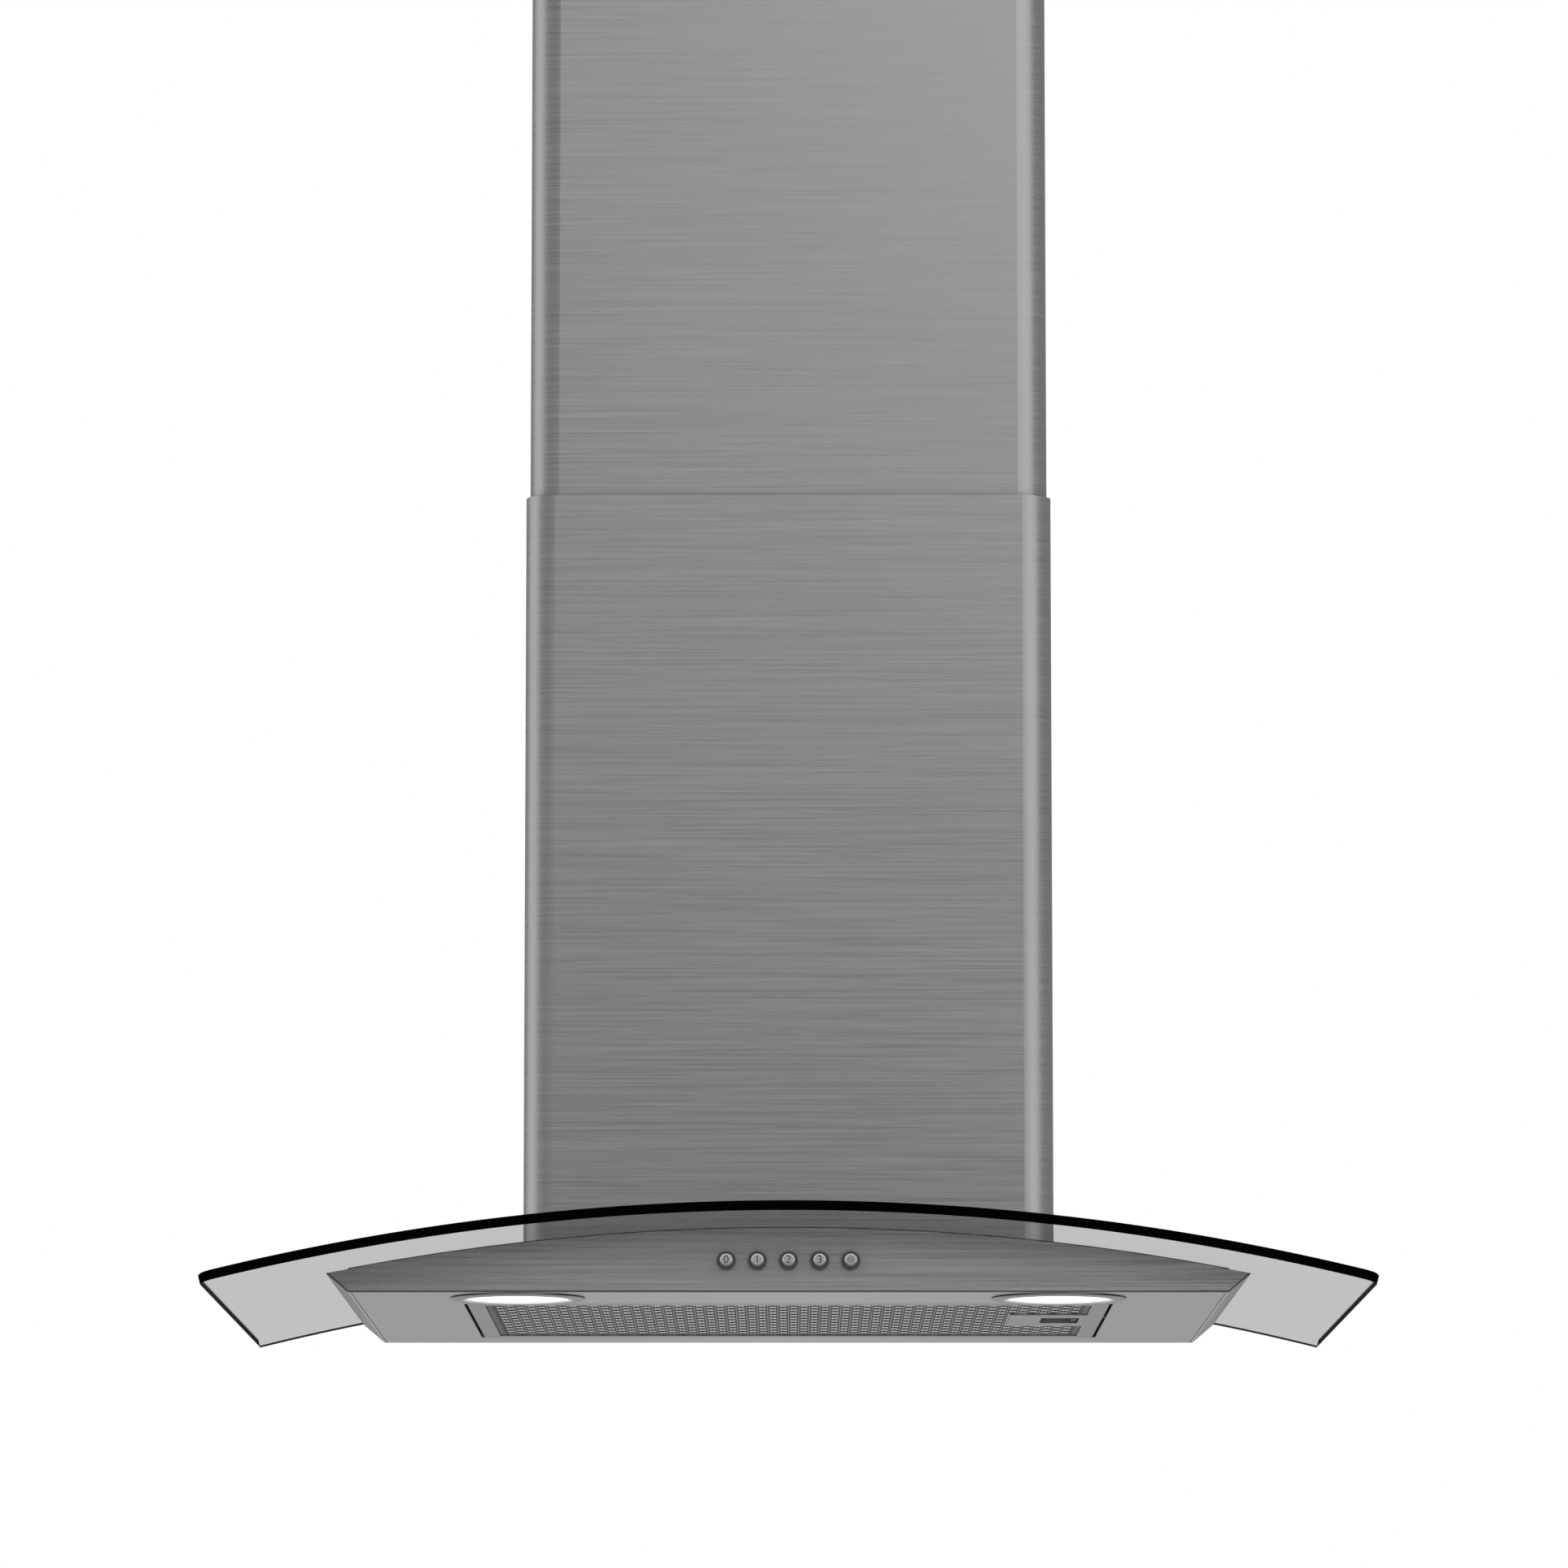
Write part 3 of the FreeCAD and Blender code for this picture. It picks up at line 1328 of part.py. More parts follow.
def filter_pins():
    """Hinge pins at the front and back ends of the filter's left edge."""
    reach = s.pin_reach
    front = rod("y", pin_x, filter_y0 - reach, pin_z, reach + s.filter_wall, s.pin_radius)
    back = rod("y", pin_x, filter_y1 - s.filter_wall, pin_z, reach + s.filter_wall, s.pin_radius)
    return group(front, back)


def filter_latch():
    """Sliding latch: finger tab in the recess, shoulder inside the frame and a tongue."""
    panel_edge = filter_half + s.filter_gap
    tip = panel_edge + s.latch_reach
    tab_x1 = s.recess_right - s.latch_tab_inset
    tab_x0 = tab_x1 - s.latch_tab
    bar = block(tab_x0, tip, latch_y0, latch_y1, s.latch_bottom, latch_top)
    tab = block(tab_x0, tab_x1, latch_y0, latch_y1, s.seat_gap, latch_top)
    shoulder_x1 = filter_half - s.filter_wall - s.latch_gap
    middle = -s.handle_middle
    shoulder = block(shoulder_x1 - s.latch_shoulder, shoulder_x1, middle - s.latch_shoulder_width / 2,
                     middle + s.latch_shoulder_width / 2, s.latch_bottom, latch_top)
    return join(bar, tab, shoulder)


def filter_keeper():
    """Plate on the panel's edge that the latch's tongue rests on."""
    x0 = filter_half + s.filter_gap + s.seat_gap
    middle = -s.handle_middle
    return block(x0, x0 + s.keeper_length, middle - s.keeper_width / 2, middle + s.keeper_width / 2,
                 panel_top, s.latch_bottom - s.seat_gap)


def filter_pivots():
    """Bearing plates on the panel that the filter's pins turn in."""
    plates = []
    for y0 in (filter_y0 - s.pivot_play - s.pivot_plate, filter_y1 + s.pivot_play):
        x0 = pin_x - s.pivot_width / 2
        plate = block(x0, x0 + s.pivot_width, y0, y0 + s.pivot_plate, panel_top,
                      panel_top + s.pivot_height)
        bore = rod("y", pin_x, y0 - s.overrun, pin_z, s.overrun * 2 + s.pivot_plate,
                   s.pin_radius + s.running_gap)
        plates.append(cut(plate, bore))
    return group(*plates)


node("hood_shell", hood_shell())
node("bottom_panel", bottom_panel())
node("glass_canopy", glass_canopy())
node("glass_tape", glass_tape())
node("glass_screws", glass_screws())
node("glass_washers", glass_washers())
node("glass_clamps", glass_clamps())
node("lower_chimney", lower_chimney())
node("lower_chimney_tabs", cover_tabs())
node("lower_chimney_screws", side_screws(cover_half, -s.cover_tab_back, cover_screw_level))
node("upper_chimney", upper_chimney())
node("upper_wall_bracket", upper_bracket())
node("upper_chimney_screws", side_screws(upper_half, upper_screw_y, upper_screw_level))
node("airbox", airbox())
node("airbox_screws", airbox_screws())
node("wall_rail", wall_rail())
node("blower_scroll", blower_scroll())
node("fan_wheel_left", fan_cage(-1))
node("fan_wheel_right", fan_cage(1))
node("fan_hub", fan_hub())
node("fan_shaft", fan_shaft())
node("fan_nut", fan_nut())
node("motor", motor())
node("motor_bracket", motor_bracket())
node("outlet_collar", outlet_collar())
node("flap_front", flap(-1))
node("flap_rear", flap(1))
node("terminal_box", terminal_box())
node("capacitor", capacitor())
node("cable_gland", cable_gland())
node("switch_bank", switch_bank())
node("switch_bracket", switch_bracket())
node("button_bezels", button_bezels())
for name, x in zip(BUTTON_NAMES, button_x):
    node(name, button(x))
for name, x in (("left", -lamp_x), ("right", lamp_x)):
    node(f"lamp_bezel_{name}", lamp_bezel(x))
    node(f"lamp_lens_{name}", lamp_lens(x))
    node(f"lamp_can_{name}", lamp_can(x))
node("filter_frame", filter_frame())
node("filter_face", filter_face())
node("filter_mesh", filter_mesh())
node("filter_back", filter_back())
node("filter_handle", filter_handle())
node("filter_pins", filter_pins())
node("filter_latch", filter_latch())
node("filter_keeper", filter_keeper())
node("filter_pivots", filter_pivots())

doc.recompute()
faults = [thing.Name for thing in doc.Objects if "Invalid" in thing.State or "Error" in thing.State]
faults += [piece.Label for piece in nodes if piece.Shape.isNull() or not piece.Shape.isValid()]
if faults:
    raise ValueError("not built: " + ", ".join(faults))

os.makedirs("parts", exist_ok=True)
for piece in nodes:
    piece.Shape.exportStep(f"parts/{piece.Label}.step")
    box = piece.Shape.BoundBox
    print(f"{piece.Label:24s} solids {len(piece.Shape.Solids)} volume {piece.Shape.Volume:12.1f}"
          f"  x {box.XMin:8.2f} {box.XMax:8.2f}  y {box.YMin:8.2f} {box.YMax:8.2f}"
          f"  z {box.ZMin:8.2f} {box.ZMax:8.2f}")
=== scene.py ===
import math
import bpy
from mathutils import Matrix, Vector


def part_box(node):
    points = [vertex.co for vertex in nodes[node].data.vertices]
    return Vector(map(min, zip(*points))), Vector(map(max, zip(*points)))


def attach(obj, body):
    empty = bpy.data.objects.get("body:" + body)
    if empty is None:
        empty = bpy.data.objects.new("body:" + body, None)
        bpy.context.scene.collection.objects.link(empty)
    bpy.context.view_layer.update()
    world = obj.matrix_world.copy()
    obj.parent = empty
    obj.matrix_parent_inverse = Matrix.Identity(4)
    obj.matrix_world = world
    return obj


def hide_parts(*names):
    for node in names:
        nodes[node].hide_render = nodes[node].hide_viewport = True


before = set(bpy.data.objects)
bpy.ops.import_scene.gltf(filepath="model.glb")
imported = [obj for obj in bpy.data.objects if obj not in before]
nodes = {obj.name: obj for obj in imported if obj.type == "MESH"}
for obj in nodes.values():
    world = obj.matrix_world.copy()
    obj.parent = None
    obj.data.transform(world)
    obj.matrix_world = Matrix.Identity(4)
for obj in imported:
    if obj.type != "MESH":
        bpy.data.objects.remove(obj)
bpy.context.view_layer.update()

# Camera
# A long lens in front of the hood and a little below it, tilted up so that the
# underside just shows and the chimney runs out of the top of the picture.
EYE_DISTANCE = 4.69
EYE_DROP = 0.3118
EYE_TILT = 7.66
LENS = 190.3
SENSOR = 36
SIDE_SHIFT = -0.00285
NEAREST = 0.1
FARTHEST = 100
camera_data = bpy.data.cameras.new("camera")
camera_data.sensor_width = SENSOR
camera_data.lens = LENS
camera_data.shift_x = SIDE_SHIFT
camera_data.clip_start = NEAREST
camera_data.clip_end = FARTHEST
camera = bpy.data.objects.new("camera", camera_data)
camera.location = (0, -EYE_DISTANCE, -EYE_DROP)
camera.rotation_euler = (math.radians(90 + EYE_TILT), 0, 0)
bpy.context.scene.collection.objects.link(camera)
bpy.context.scene.camera = camera

# Studio
# A pale floor, clear from below, and a white background light the hood softly. Graded
# cards in front, behind and at both sides only mirror in metal and glass, as cards that
# stand round a steel product do. Each stop is (share of the width, tone).
BACKDROP = (1, 1, 1, 1)
FLOOR_LEVEL = -1.55
FLOOR_SIZE = 80
FLOOR_TONE = 0.95
FLOOR_ROUGHNESS = 0.9
FLOOR_MIRRORED = ((0, 0.24), (0.42, 0.24), (0.47, 0.36), (0.55, 0.42), (1, 0.42))
FRONT_CARD = -7
BACK_CARD = 15
SIDE_CARD = 5
CARD_HEIGHT = 9
FRONT_GLOW = 2.29
FRONT_UPWARD = ((0.079, 0), (0.85, 1), (1, 1))
FRONT_TILT = ((0, 0.07), (0.4, 0.11), (0.49, 0.4), (0.545, 0.9), (0.6, 1), (1, 1))
TILT_FADE = ((0, 0), (0.3, 0), (0.38, 1), (1, 1))
LOW_TILT = ((0, 0.66), (0.43, 0.66), (0.49, 0.33), (0.56, 0.3), (1, 0.3))
FRONT_SIDES = ((0, 0.113), (0.48, 0.113), (0.52, 0.33), (1, 0.33))
FRONT_MIDDLE = ((0, 0), (0.15, 0), (0.35, 1), (0.6, 1), (0.69, 0), (1, 0))
LEFT_CARD = ((0, 0.26), (0.18, 0.26), (0.24, 0.72), (0.4, 0.72), (0.45, 0.26), (1, 0.26))
RIGHT_CARD = ((0, 0.74), (0.165, 0.74), (0.21, 0.26), (1, 0.26))
BACK_ACROSS = ((0, 0.32), (0.43, 0.32), (0.5, 0.68), (0.57, 0.32), (1, 0.32))


def add(tree, kind, **settings):
    """A new shader node with its plain settings."""
    item = tree.nodes.new(kind)
    for key, value in settings.items():
        setattr(item, key, value)
    return item


def feed(tree, value, socket):
    """Sets a socket to a number, or links an output to it."""
    if isinstance(value, (int, float)):
        socket.default_value = value
    else:
        tree.links.new(value, socket)


def new_material(name, tone=0.5, metallic=0.0, roughness=0.5):
    """A material, its node tree and its Principled shader. A tone is a grey or a colour."""
    material = bpy.data.materials.new(name)
    material.use_nodes = True
    tree = material.node_tree
    shader = tree.nodes["Principled BSDF"]
    colour = tone if isinstance(tone, tuple) else (tone, tone, tone)
    shader.inputs["Base Color"].default_value = (*colour, 1)
    shader.inputs["Metallic"].default_value = metallic
    shader.inputs["Roughness"].default_value = roughness
    return material, tree, shader


def calculated(tree, operation, *values):
    """A Math node's output. Each value is a number or an output."""
    step = add(tree, "ShaderNodeMath", operation=operation)
    for socket, value in zip(step.inputs, values):
        feed(tree, value, socket)
    return step.outputs[0]


def axes(tree, source="ShaderNodeTexCoord", output="Object"):
    """The X, Y and Z outputs of a place or a direction."""
    split = add(tree, "ShaderNodeSeparateXYZ")
    tree.links.new(add(tree, source).outputs[output], split.inputs[0])
    return split.outputs["X"], split.outputs["Y"], split.outputs["Z"]


def stepped(tree, value, stops):
    """Grey tones for a value from zero to one. Each stop is (value, tone)."""
    tones = add(tree, "ShaderNodeValToRGB")
    points = tones.color_ramp.elements
    while len(points) < len(stops):
        points.new(1)
    for point, (share, tone) in zip(points, stops):
        point.position = share
        point.color = (tone, tone, tone, 1)
    tree.links.new(value, tones.inputs[0])
    return tones.outputs[0]


def graded(tree, axis, stops):
    """Grey tones along one axis of an object that is one unit wide before it is scaled."""
    along = axes(tree)["XYZ".index(axis)]
    return stepped(tree, calculated(tree, "ADD", along, 0.5), stops)


def mixed(tree, factor, first, second, blend="MIX"):
    """Mixes two colour outputs. The factor is a number or an output."""
    mixing = add(tree, "ShaderNodeMix", data_type="RGBA", blend_type=blend)
    feed(tree, factor, mixing.inputs["Factor"])
    tree.links.new(first, mixing.inputs["A"])
    tree.links.new(second, mixing.inputs["B"])
    return mixing.outputs["Result"]


def either(tree, factor, first, second):
    """Mixes two shader outputs. The factor is a number or an output."""
    choice = add(tree, "ShaderNodeMixShader")
    feed(tree, factor, choice.inputs[0])
    tree.links.new(first, choice.inputs[1])
    tree.links.new(second, choice.inputs[2])
    return choice.outputs[0]


def card(name, place, turn, width, grade, glow=1):
    """A glowing upright board on the floor that only glossy rays see."""
    bpy.ops.mesh.primitive_plane_add(size=1, location=(*place, FLOOR_LEVEL + CARD_HEIGHT / 2),
                                     rotation=(math.radians(90), 0, math.radians(turn)))
    board = bpy.context.object
    board.name = name
    board.scale = (width, CARD_HEIGHT, 1)
    board.visible_camera = False
    board.visible_diffuse = False
    board.visible_shadow = False
    board.visible_transmission = False
    material = bpy.data.materials.new(name)
    material.use_nodes = True
    tree = material.node_tree
    tree.nodes.clear()
    output = add(tree, "ShaderNodeOutputMaterial")
    light = add(tree, "ShaderNodeEmission")
    light.inputs["Strength"].default_value = glow
    tree.links.new(grade(tree), light.inputs["Color"])
    tree.links.new(light.outputs[0], output.inputs["Surface"])
    board.data.materials.append(material)


def front_grade(tree):
    """Brighter with height, low down more so on the left and higher up on the right. The
    ends are plain: dark on the left and brighter on the right."""
    low = graded(tree, "X", LOW_TILT)
    tilt = mixed(tree, graded(tree, "Y", TILT_FADE), low, graded(tree, "X", FRONT_TILT))
    middle = mixed(tree, 1, graded(tree, "Y", FRONT_UPWARD), tilt, "MULTIPLY")
    ends = graded(tree, "X", FRONT_SIDES)
    return mixed(tree, graded(tree, "X", FRONT_MIDDLE), ends, middle)


side_length = BACK_CARD - FRONT_CARD
side_middle = (BACK_CARD + FRONT_CARD) / 2
card("front_card", (0, FRONT_CARD), 0, SIDE_CARD * 2, front_grade, FRONT_GLOW)
card("back_card", (0, BACK_CARD), 0, SIDE_CARD * 2,
     lambda tree: graded(tree, "X", BACK_ACROSS))
card("left_card", (-SIDE_CARD, side_middle), 90, side_length,
     lambda tree: graded(tree, "X", LEFT_CARD))
card("right_card", (SIDE_CARD, side_middle), 90, side_length,
     lambda tree: graded(tree, "X", RIGHT_CARD))

bpy.ops.mesh.primitive_plane_add(size=1, location=(0, 0, FLOOR_LEVEL))
floor = bpy.context.object
floor.name = "floor"
floor.scale = (FLOOR_SIZE, FLOOR_SIZE, 1)
floor_material, tree, shader = new_material("floor", FLOOR_TONE, roughness=FLOOR_ROUGHNESS)
mirrored = add(tree, "ShaderNodeEmission")
tree.links.new(graded(tree, "Y", FLOOR_MIRRORED), mirrored.inputs["Color"])
in_mirror = add(tree, "ShaderNodeLightPath").outputs["Is Glossy Ray"]
from_above = either(tree, in_mirror, shader.outputs[0], mirrored.outputs[0])
from_below = add(tree, "ShaderNodeNewGeometry").outputs["Backfacing"]
clear = add(tree, "ShaderNodeBsdfTransparent").outputs[0]
surface = tree.nodes["Material Output"].inputs["Surface"]
tree.links.new(either(tree, from_below, from_above, clear), surface)
floor.data.materials.append(floor_material)

world = bpy.data.worlds.new("studio")
bpy.context.scene.world = world
world.use_nodes = True
tree = world.node_tree
tree.nodes.clear()
backdrop = add(tree, "ShaderNodeBackground")
backdrop.inputs["Color"].default_value = BACKDROP
tree.links.new(backdrop.outputs[0], add(tree, "ShaderNodeOutputWorld").inputs["Surface"])
bpy.context.scene.view_settings.view_transform = "Standard"

# Chimney covers, hood body and underside panel
# Folded stainless sheet with a fine brushed grain that runs along the width of the
# hood: thin across the brushing and long along it, in two layers that differ in width.
# Painted shade darkens the colour where pieces meet, and on the body under the glass.
STEEL_TONE = 0.6
# Painted light: the body and the panel are the covers' steel, painted brighter.
BODY_LIT_TONE = 0.92
PANEL_LIT_TONE = 0.8
GRAIN_ACROSS = 2300
GRAIN_ALONG = 10
GRAIN_CONTRAST = 0.09
GRAIN_DETAIL = 3
GRAIN_DETAIL_ROUGHNESS = 0.6
FIRST_LAYER_SHARE = 0.55
GRAIN_RANGE = (0.36, 0.64)
GRAIN_ROUGHNESS = (0.24, 0.36)
SECOND_LAYER_STRETCH = (1.3, 1.3, 0.45)
BUMP_STRENGTH = 0.04
BUMP_DEPTH = 0.00002
GLINT_STRETCH = 0.7
CORNER_SHADE_SAMPLES = 8
CORNER_SHADE_START = 0.5
CORNER_SHADE_REACH = 0.006
CORNER_SHADE_TONE = 0.6
UNDER_GLASS_SHADE_REACH = 0.016
BODY_CORNER_SHADE_TONE = 0.72
PANEL_CORNER_SHADE_TONE = 0.9


def ranged(tree, value, start, end, low=0, high=1, shape="LINEAR"):
    """The low value up to the start, the high one from the end and a slope between."""
    slope = add(tree, "ShaderNodeMapRange", interpolation_type=shape)
    slope.inputs["From Min"].default_value = start
    slope.inputs["From Max"].default_value = end
    slope.inputs["To Min"].default_value = low
    slope.inputs["To Max"].default_value = high
    tree.links.new(value, slope.inputs["Value"])
    return slope.outputs[0]


def grain_group():
    """Brushed grain: colour, height and roughness from a noise stretched along the brushing."""
    group = bpy.data.node_groups.new("brushed_grain", "ShaderNodeTree")
    for name, way, kind in (("Stretch", "INPUT", "Vector"), ("Dark", "INPUT", "Color"),
                            ("Light", "INPUT", "Color"), ("Color", "OUTPUT", "Color"),
                            ("Height", "OUTPUT", "Float"), ("Roughness", "OUTPUT", "Float")):
        group.interface.new_socket(name, in_out=way, socket_type="NodeSocket" + kind)
    start = add(group, "NodeGroupInput")
    end = add(group, "NodeGroupOutput")
    where = add(group, "ShaderNodeTexCoord")
    stretched = add(group, "ShaderNodeVectorMath", operation="MULTIPLY")
    group.links.new(where.outputs["Object"], stretched.inputs[0])
    group.links.new(start.outputs["Stretch"], stretched.inputs[1])
    again = add(group, "ShaderNodeVectorMath", operation="MULTIPLY")
    again.inputs[1].default_value = SECOND_LAYER_STRETCH
    group.links.new(stretched.outputs[0], again.inputs[0])
    layers = []
    for source in (stretched, again):
        noise = add(group, "ShaderNodeTexNoise")
        noise.inputs["Scale"].default_value = 1
        noise.inputs["Detail"].default_value = GRAIN_DETAIL
        noise.inputs["Roughness"].default_value = GRAIN_DETAIL_ROUGHNESS
        group.links.new(source.outputs[0], noise.inputs["Vector"])
        layers.append(noise.outputs["Fac"])
    second = calculated(group, "MULTIPLY", layers[1], 1 - FIRST_LAYER_SHARE)
    height = calculated(group, "MULTIPLY_ADD", layers[0], FIRST_LAYER_SHARE, second)
    level = ranged(group, height, *GRAIN_RANGE)
    tint = mixed(group, level, start.outputs["Dark"], start.outputs["Light"])
    group.links.new(tint, end.inputs["Color"])
    group.links.new(height, end.inputs["Height"])
    group.links.new(ranged(group, level, 0, 1, *GRAIN_ROUGHNESS), end.inputs["Roughness"])
    return group


brushed_grain = grain_group()


def shaded(tree, colour, reach, deepest):
    """Paints shade into a colour in the corners where pieces meet, from ambient occlusion, to the
    deepest share of it.
    """
    corner = add(tree, "ShaderNodeAmbientOcclusion", samples=CORNER_SHADE_SAMPLES)
    corner.inputs["Distance"].default_value = reach
    depth = ranged(tree, corner.outputs["AO"], CORNER_SHADE_START, 1, deepest)
    return mixed(tree, 1, colour, depth, "MULTIPLY")


def brushed(name, tone, stretch, contrast=GRAIN_CONTRAST, upright=False, reach=CORNER_SHADE_REACH,
            deepest=CORNER_SHADE_TONE):
    """Brushed metal with painted corner shade. On upright sheets the glint is drawn out along the
    height.
    """
    material, tree, shader = new_material(name, metallic=1)
    grain = add(tree, "ShaderNodeGroup", node_tree=brushed_grain)
    grain.inputs["Stretch"].default_value = stretch
    for end, change in (("Dark", 1 - contrast), ("Light", 1 + contrast)):
        level = tone * change
        grain.inputs[end].default_value = (level, level, level, 1)
    colour = shaded(tree, grain.outputs["Color"], reach, deepest)
    tree.links.new(colour, shader.inputs["Base Color"])
    tree.links.new(grain.outputs["Roughness"], shader.inputs["Roughness"])
    bump = add(tree, "ShaderNodeBump")
    bump.inputs["Strength"].default_value = BUMP_STRENGTH
    bump.inputs["Distance"].default_value = BUMP_DEPTH
    tree.links.new(grain.outputs["Height"], bump.inputs["Height"])
    tree.links.new(bump.outputs[0], shader.inputs["Normal"])
    if upright:
        shader.inputs["Anisotropic"].default_value = GLINT_STRETCH
        along = add(tree, "ShaderNodeTangent", direction_type="RADIAL", axis="Z")
        tree.links.new(along.outputs[0], shader.inputs["Tangent"])
    return material


def dress(material, *names):
    """Gives CAD nodes a material."""
    for name in names:
        for slot in nodes[name].material_slots:
            slot.material = material


upright_grain = (GRAIN_ALONG, GRAIN_ALONG, GRAIN_ACROSS)
flat_grain = (GRAIN_ALONG, GRAIN_ACROSS, GRAIN_ACROSS)
cover_steel = brushed("cover_steel", STEEL_TONE, upright_grain, upright=True)
# The body's painted shade reaches farther, under the glass overhang above the fascia.
body_steel = brushed("body_steel", BODY_LIT_TONE, flat_grain, reach=UNDER_GLASS_SHADE_REACH,
                     deepest=BODY_CORNER_SHADE_TONE)
panel_steel = brushed("panel_steel", PANEL_LIT_TONE, flat_grain, deepest=PANEL_CORNER_SHADE_TONE)
dress(cover_steel, "lower_chimney", "upper_chimney")
dress(body_steel, "hood_shell")
dress(panel_steel, "bottom_panel")

# Folded edges of the hood body
# The sheet turns round a tight bend along the foot and the slanting ends of the
# fascia and along the top of each flank. Painted shade draws thin dark lines along
# these bends, and painted shade makes the flanks darker than the fascia.
FOLD_WIDTH = 0.0011
FOLD_FULL = 0.6
FOLD_SHADE_TONE = 0.3
FLANK_SHADE_TONES = ((0.4, 1), (0.6, 0.66))
FOOT_HALF = 0.2285
TIP_RISE = 0.00985
HALF_TURNED = 0.5
flank_slope = (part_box("hood_shell")[1].x - FOOT_HALF) / TIP_RISE


def between(tree, value, start, end):
    """Zero at the start value and one at the end value, smooth between them."""
    return ranged(tree, value, start, end, shape="SMOOTHSTEP")


def fold_shade_mask(tree):
    """One within a fold's width of the fascia's foot and ends and the flanks' tops, else zero:
    where painted shade lines go.
    """
    x, y, z = axes(tree)
    edge = calculated(tree, "MULTIPLY_ADD", z, flank_slope, FOOT_HALF)
    inset = calculated(tree, "SUBTRACT", edge, calculated(tree, "ABSOLUTE", x))
    square = calculated(tree, "MULTIPLY", inset, 1 / math.hypot(1, flank_slope))
    on_front = calculated(tree, "MINIMUM", square, z)
    on_flank = calculated(tree, "SUBTRACT", TIP_RISE, z)
    facing = axes(tree, "ShaderNodeNewGeometry", "True Normal")
    folds = []
    for distance, toward in ((on_front, calculated(tree, "MULTIPLY", facing[1], -1)),
                             (on_flank, calculated(tree, "ABSOLUTE", facing[0]))):
        near = between(tree, distance, FOLD_WIDTH, FOLD_WIDTH * FOLD_FULL)
        turned = calculated(tree, "GREATER_THAN", toward, HALF_TURNED)
        folds.append(calculated(tree, "MULTIPLY", near, turned))
    return calculated(tree, "MAXIMUM", *folds)


# Painted shade: dark fold lines and darker sideways-facing flanks multiply the grain colour.
tree = body_steel.node_tree
tint = tree.nodes["Principled BSDF"].inputs["Base Color"]
sideways = calculated(tree, "ABSOLUTE", axes(tree, "ShaderNodeNewGeometry", "True Normal")[0])
for shade in (stepped(tree, fold_shade_mask(tree), ((0, 1), (1, FOLD_SHADE_TONE))),
              stepped(tree, sideways, FLANK_SHADE_TONES)):
    tree.links.new(mixed(tree, 1, tint.links[0].from_socket, shade, "MULTIPLY"), tint)

# Glass canopy
# One sheet of smoked, toughened glass bent to a shallow arch, with ground edges,
# rounded front corners, four screw holes and a notch behind for the airbox.
# Its cut front edge looks black, and at the sides only the lower rims do. Behind, a black band
# along the lower rim is painted shade, a dark shadow line.
GLASS_TINT = (0.065, 0.065, 0.067)
GLASS_COVER = 0.28
GLASS_GLOSS = 0.012
GLASS_ROUGHNESS = 0.05
SHEEN_ROUGHNESS = 0.02
REAR_SHADE_RIM = 0.0012
SIDE_RIM = 0.0045
EDGE_TONE = 0.001
EDGE_ROUGHNESS = 0.25
GLASS_THICKNESS = 0.005
GLASS_RADIUS = 1.23
GLASS_CORNER = 0.015
CORNER_STEPS = 8
ARCH_STEPS = 72
EDGE_GRIND = 0.0005
GRIND_STEPS = 2
GRIND_ANGLE = 50
NOTCH_GAP = 0.006
NOTCH_DEPTH = 0.2283
SCREW_HOLE = 0.004
HOLE_STEPS = 32
SCREW_PLACES = ((-0.105, -0.238), (-0.035, -0.238), (0.035, -0.238), (0.105, -0.238))
NEARLY = 0.9
REAR_TURNED = 0.3
SMOOTH_ANGLE = 30


def only(piece):
    """Goes to object mode and selects this piece alone."""
    if bpy.context.object and bpy.context.object.mode != "OBJECT":
        bpy.ops.object.mode_set(mode="OBJECT")
    bpy.ops.object.select_all(action="DESELECT")
    piece.select_set(True)
    bpy.context.view_layer.objects.active = piece


def settle(piece):
    """Moves a piece's place, turn and scale into its mesh."""
    only(piece)
    bpy.ops.object.transform_apply(location=True, rotation=True, scale=True)


def modify(piece, kind, **settings):
    """Adds a modifier and applies it."""
    only(piece)
    modifier = piece.modifiers.new(kind.lower(), kind)
    for key, value in settings.items():
        setattr(modifier, key, value)
    bpy.ops.object.modifier_apply(modifier=modifier.name)


def carve(piece, cutter):
    """Takes a cutter's shape out of a piece and deletes the cutter."""
    settle(cutter)
    modify(piece, "BOOLEAN", operation="DIFFERENCE", object=cutter, solver="EXACT")
    bpy.data.objects.remove(cutter)


def in_edit_mode(piece, picked, element):
    """Goes to edit mode with the picked vertices, edges or faces selected."""
    only(piece)
    mesh = piece.data
    for group in (mesh.vertices, mesh.edges, mesh.polygons):
        for item in group:
            item.select = False
    for item in picked:
        item.select = True
    bpy.ops.object.mode_set(mode="EDIT")
    bpy.ops.mesh.select_mode(type=element)


glass_low, glass_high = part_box("glass_canopy")
airbox_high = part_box("airbox")[1]
arch_axis = glass_high.z - GLASS_THICKNESS - GLASS_RADIUS
arch_end = math.asin(glass_high.x / (GLASS_RADIUS + GLASS_THICKNESS))
glass_depth = glass_high.y - glass_low.y
glass_middle = (0, -glass_depth / 2, glass_high.z - GLASS_THICKNESS / 2)
bpy.ops.mesh.primitive_plane_add(size=1, location=glass_middle, rotation=(0, math.radians(90), 0))
glass = bpy.context.object
glass.name = "glass_sheet"
glass.scale = (GLASS_THICKNESS, glass_depth, 1)
settle(glass)
in_edit_mode(glass, glass.data.polygons, "FACE")
bpy.ops.transform.rotate(value=arch_end, orient_axis="Y", center_override=(0, 0, arch_axis))
bpy.ops.mesh.spin(steps=ARCH_STEPS, angle=-2 * arch_end, center=(0, 0, arch_axis), axis=(0, 1, 0))
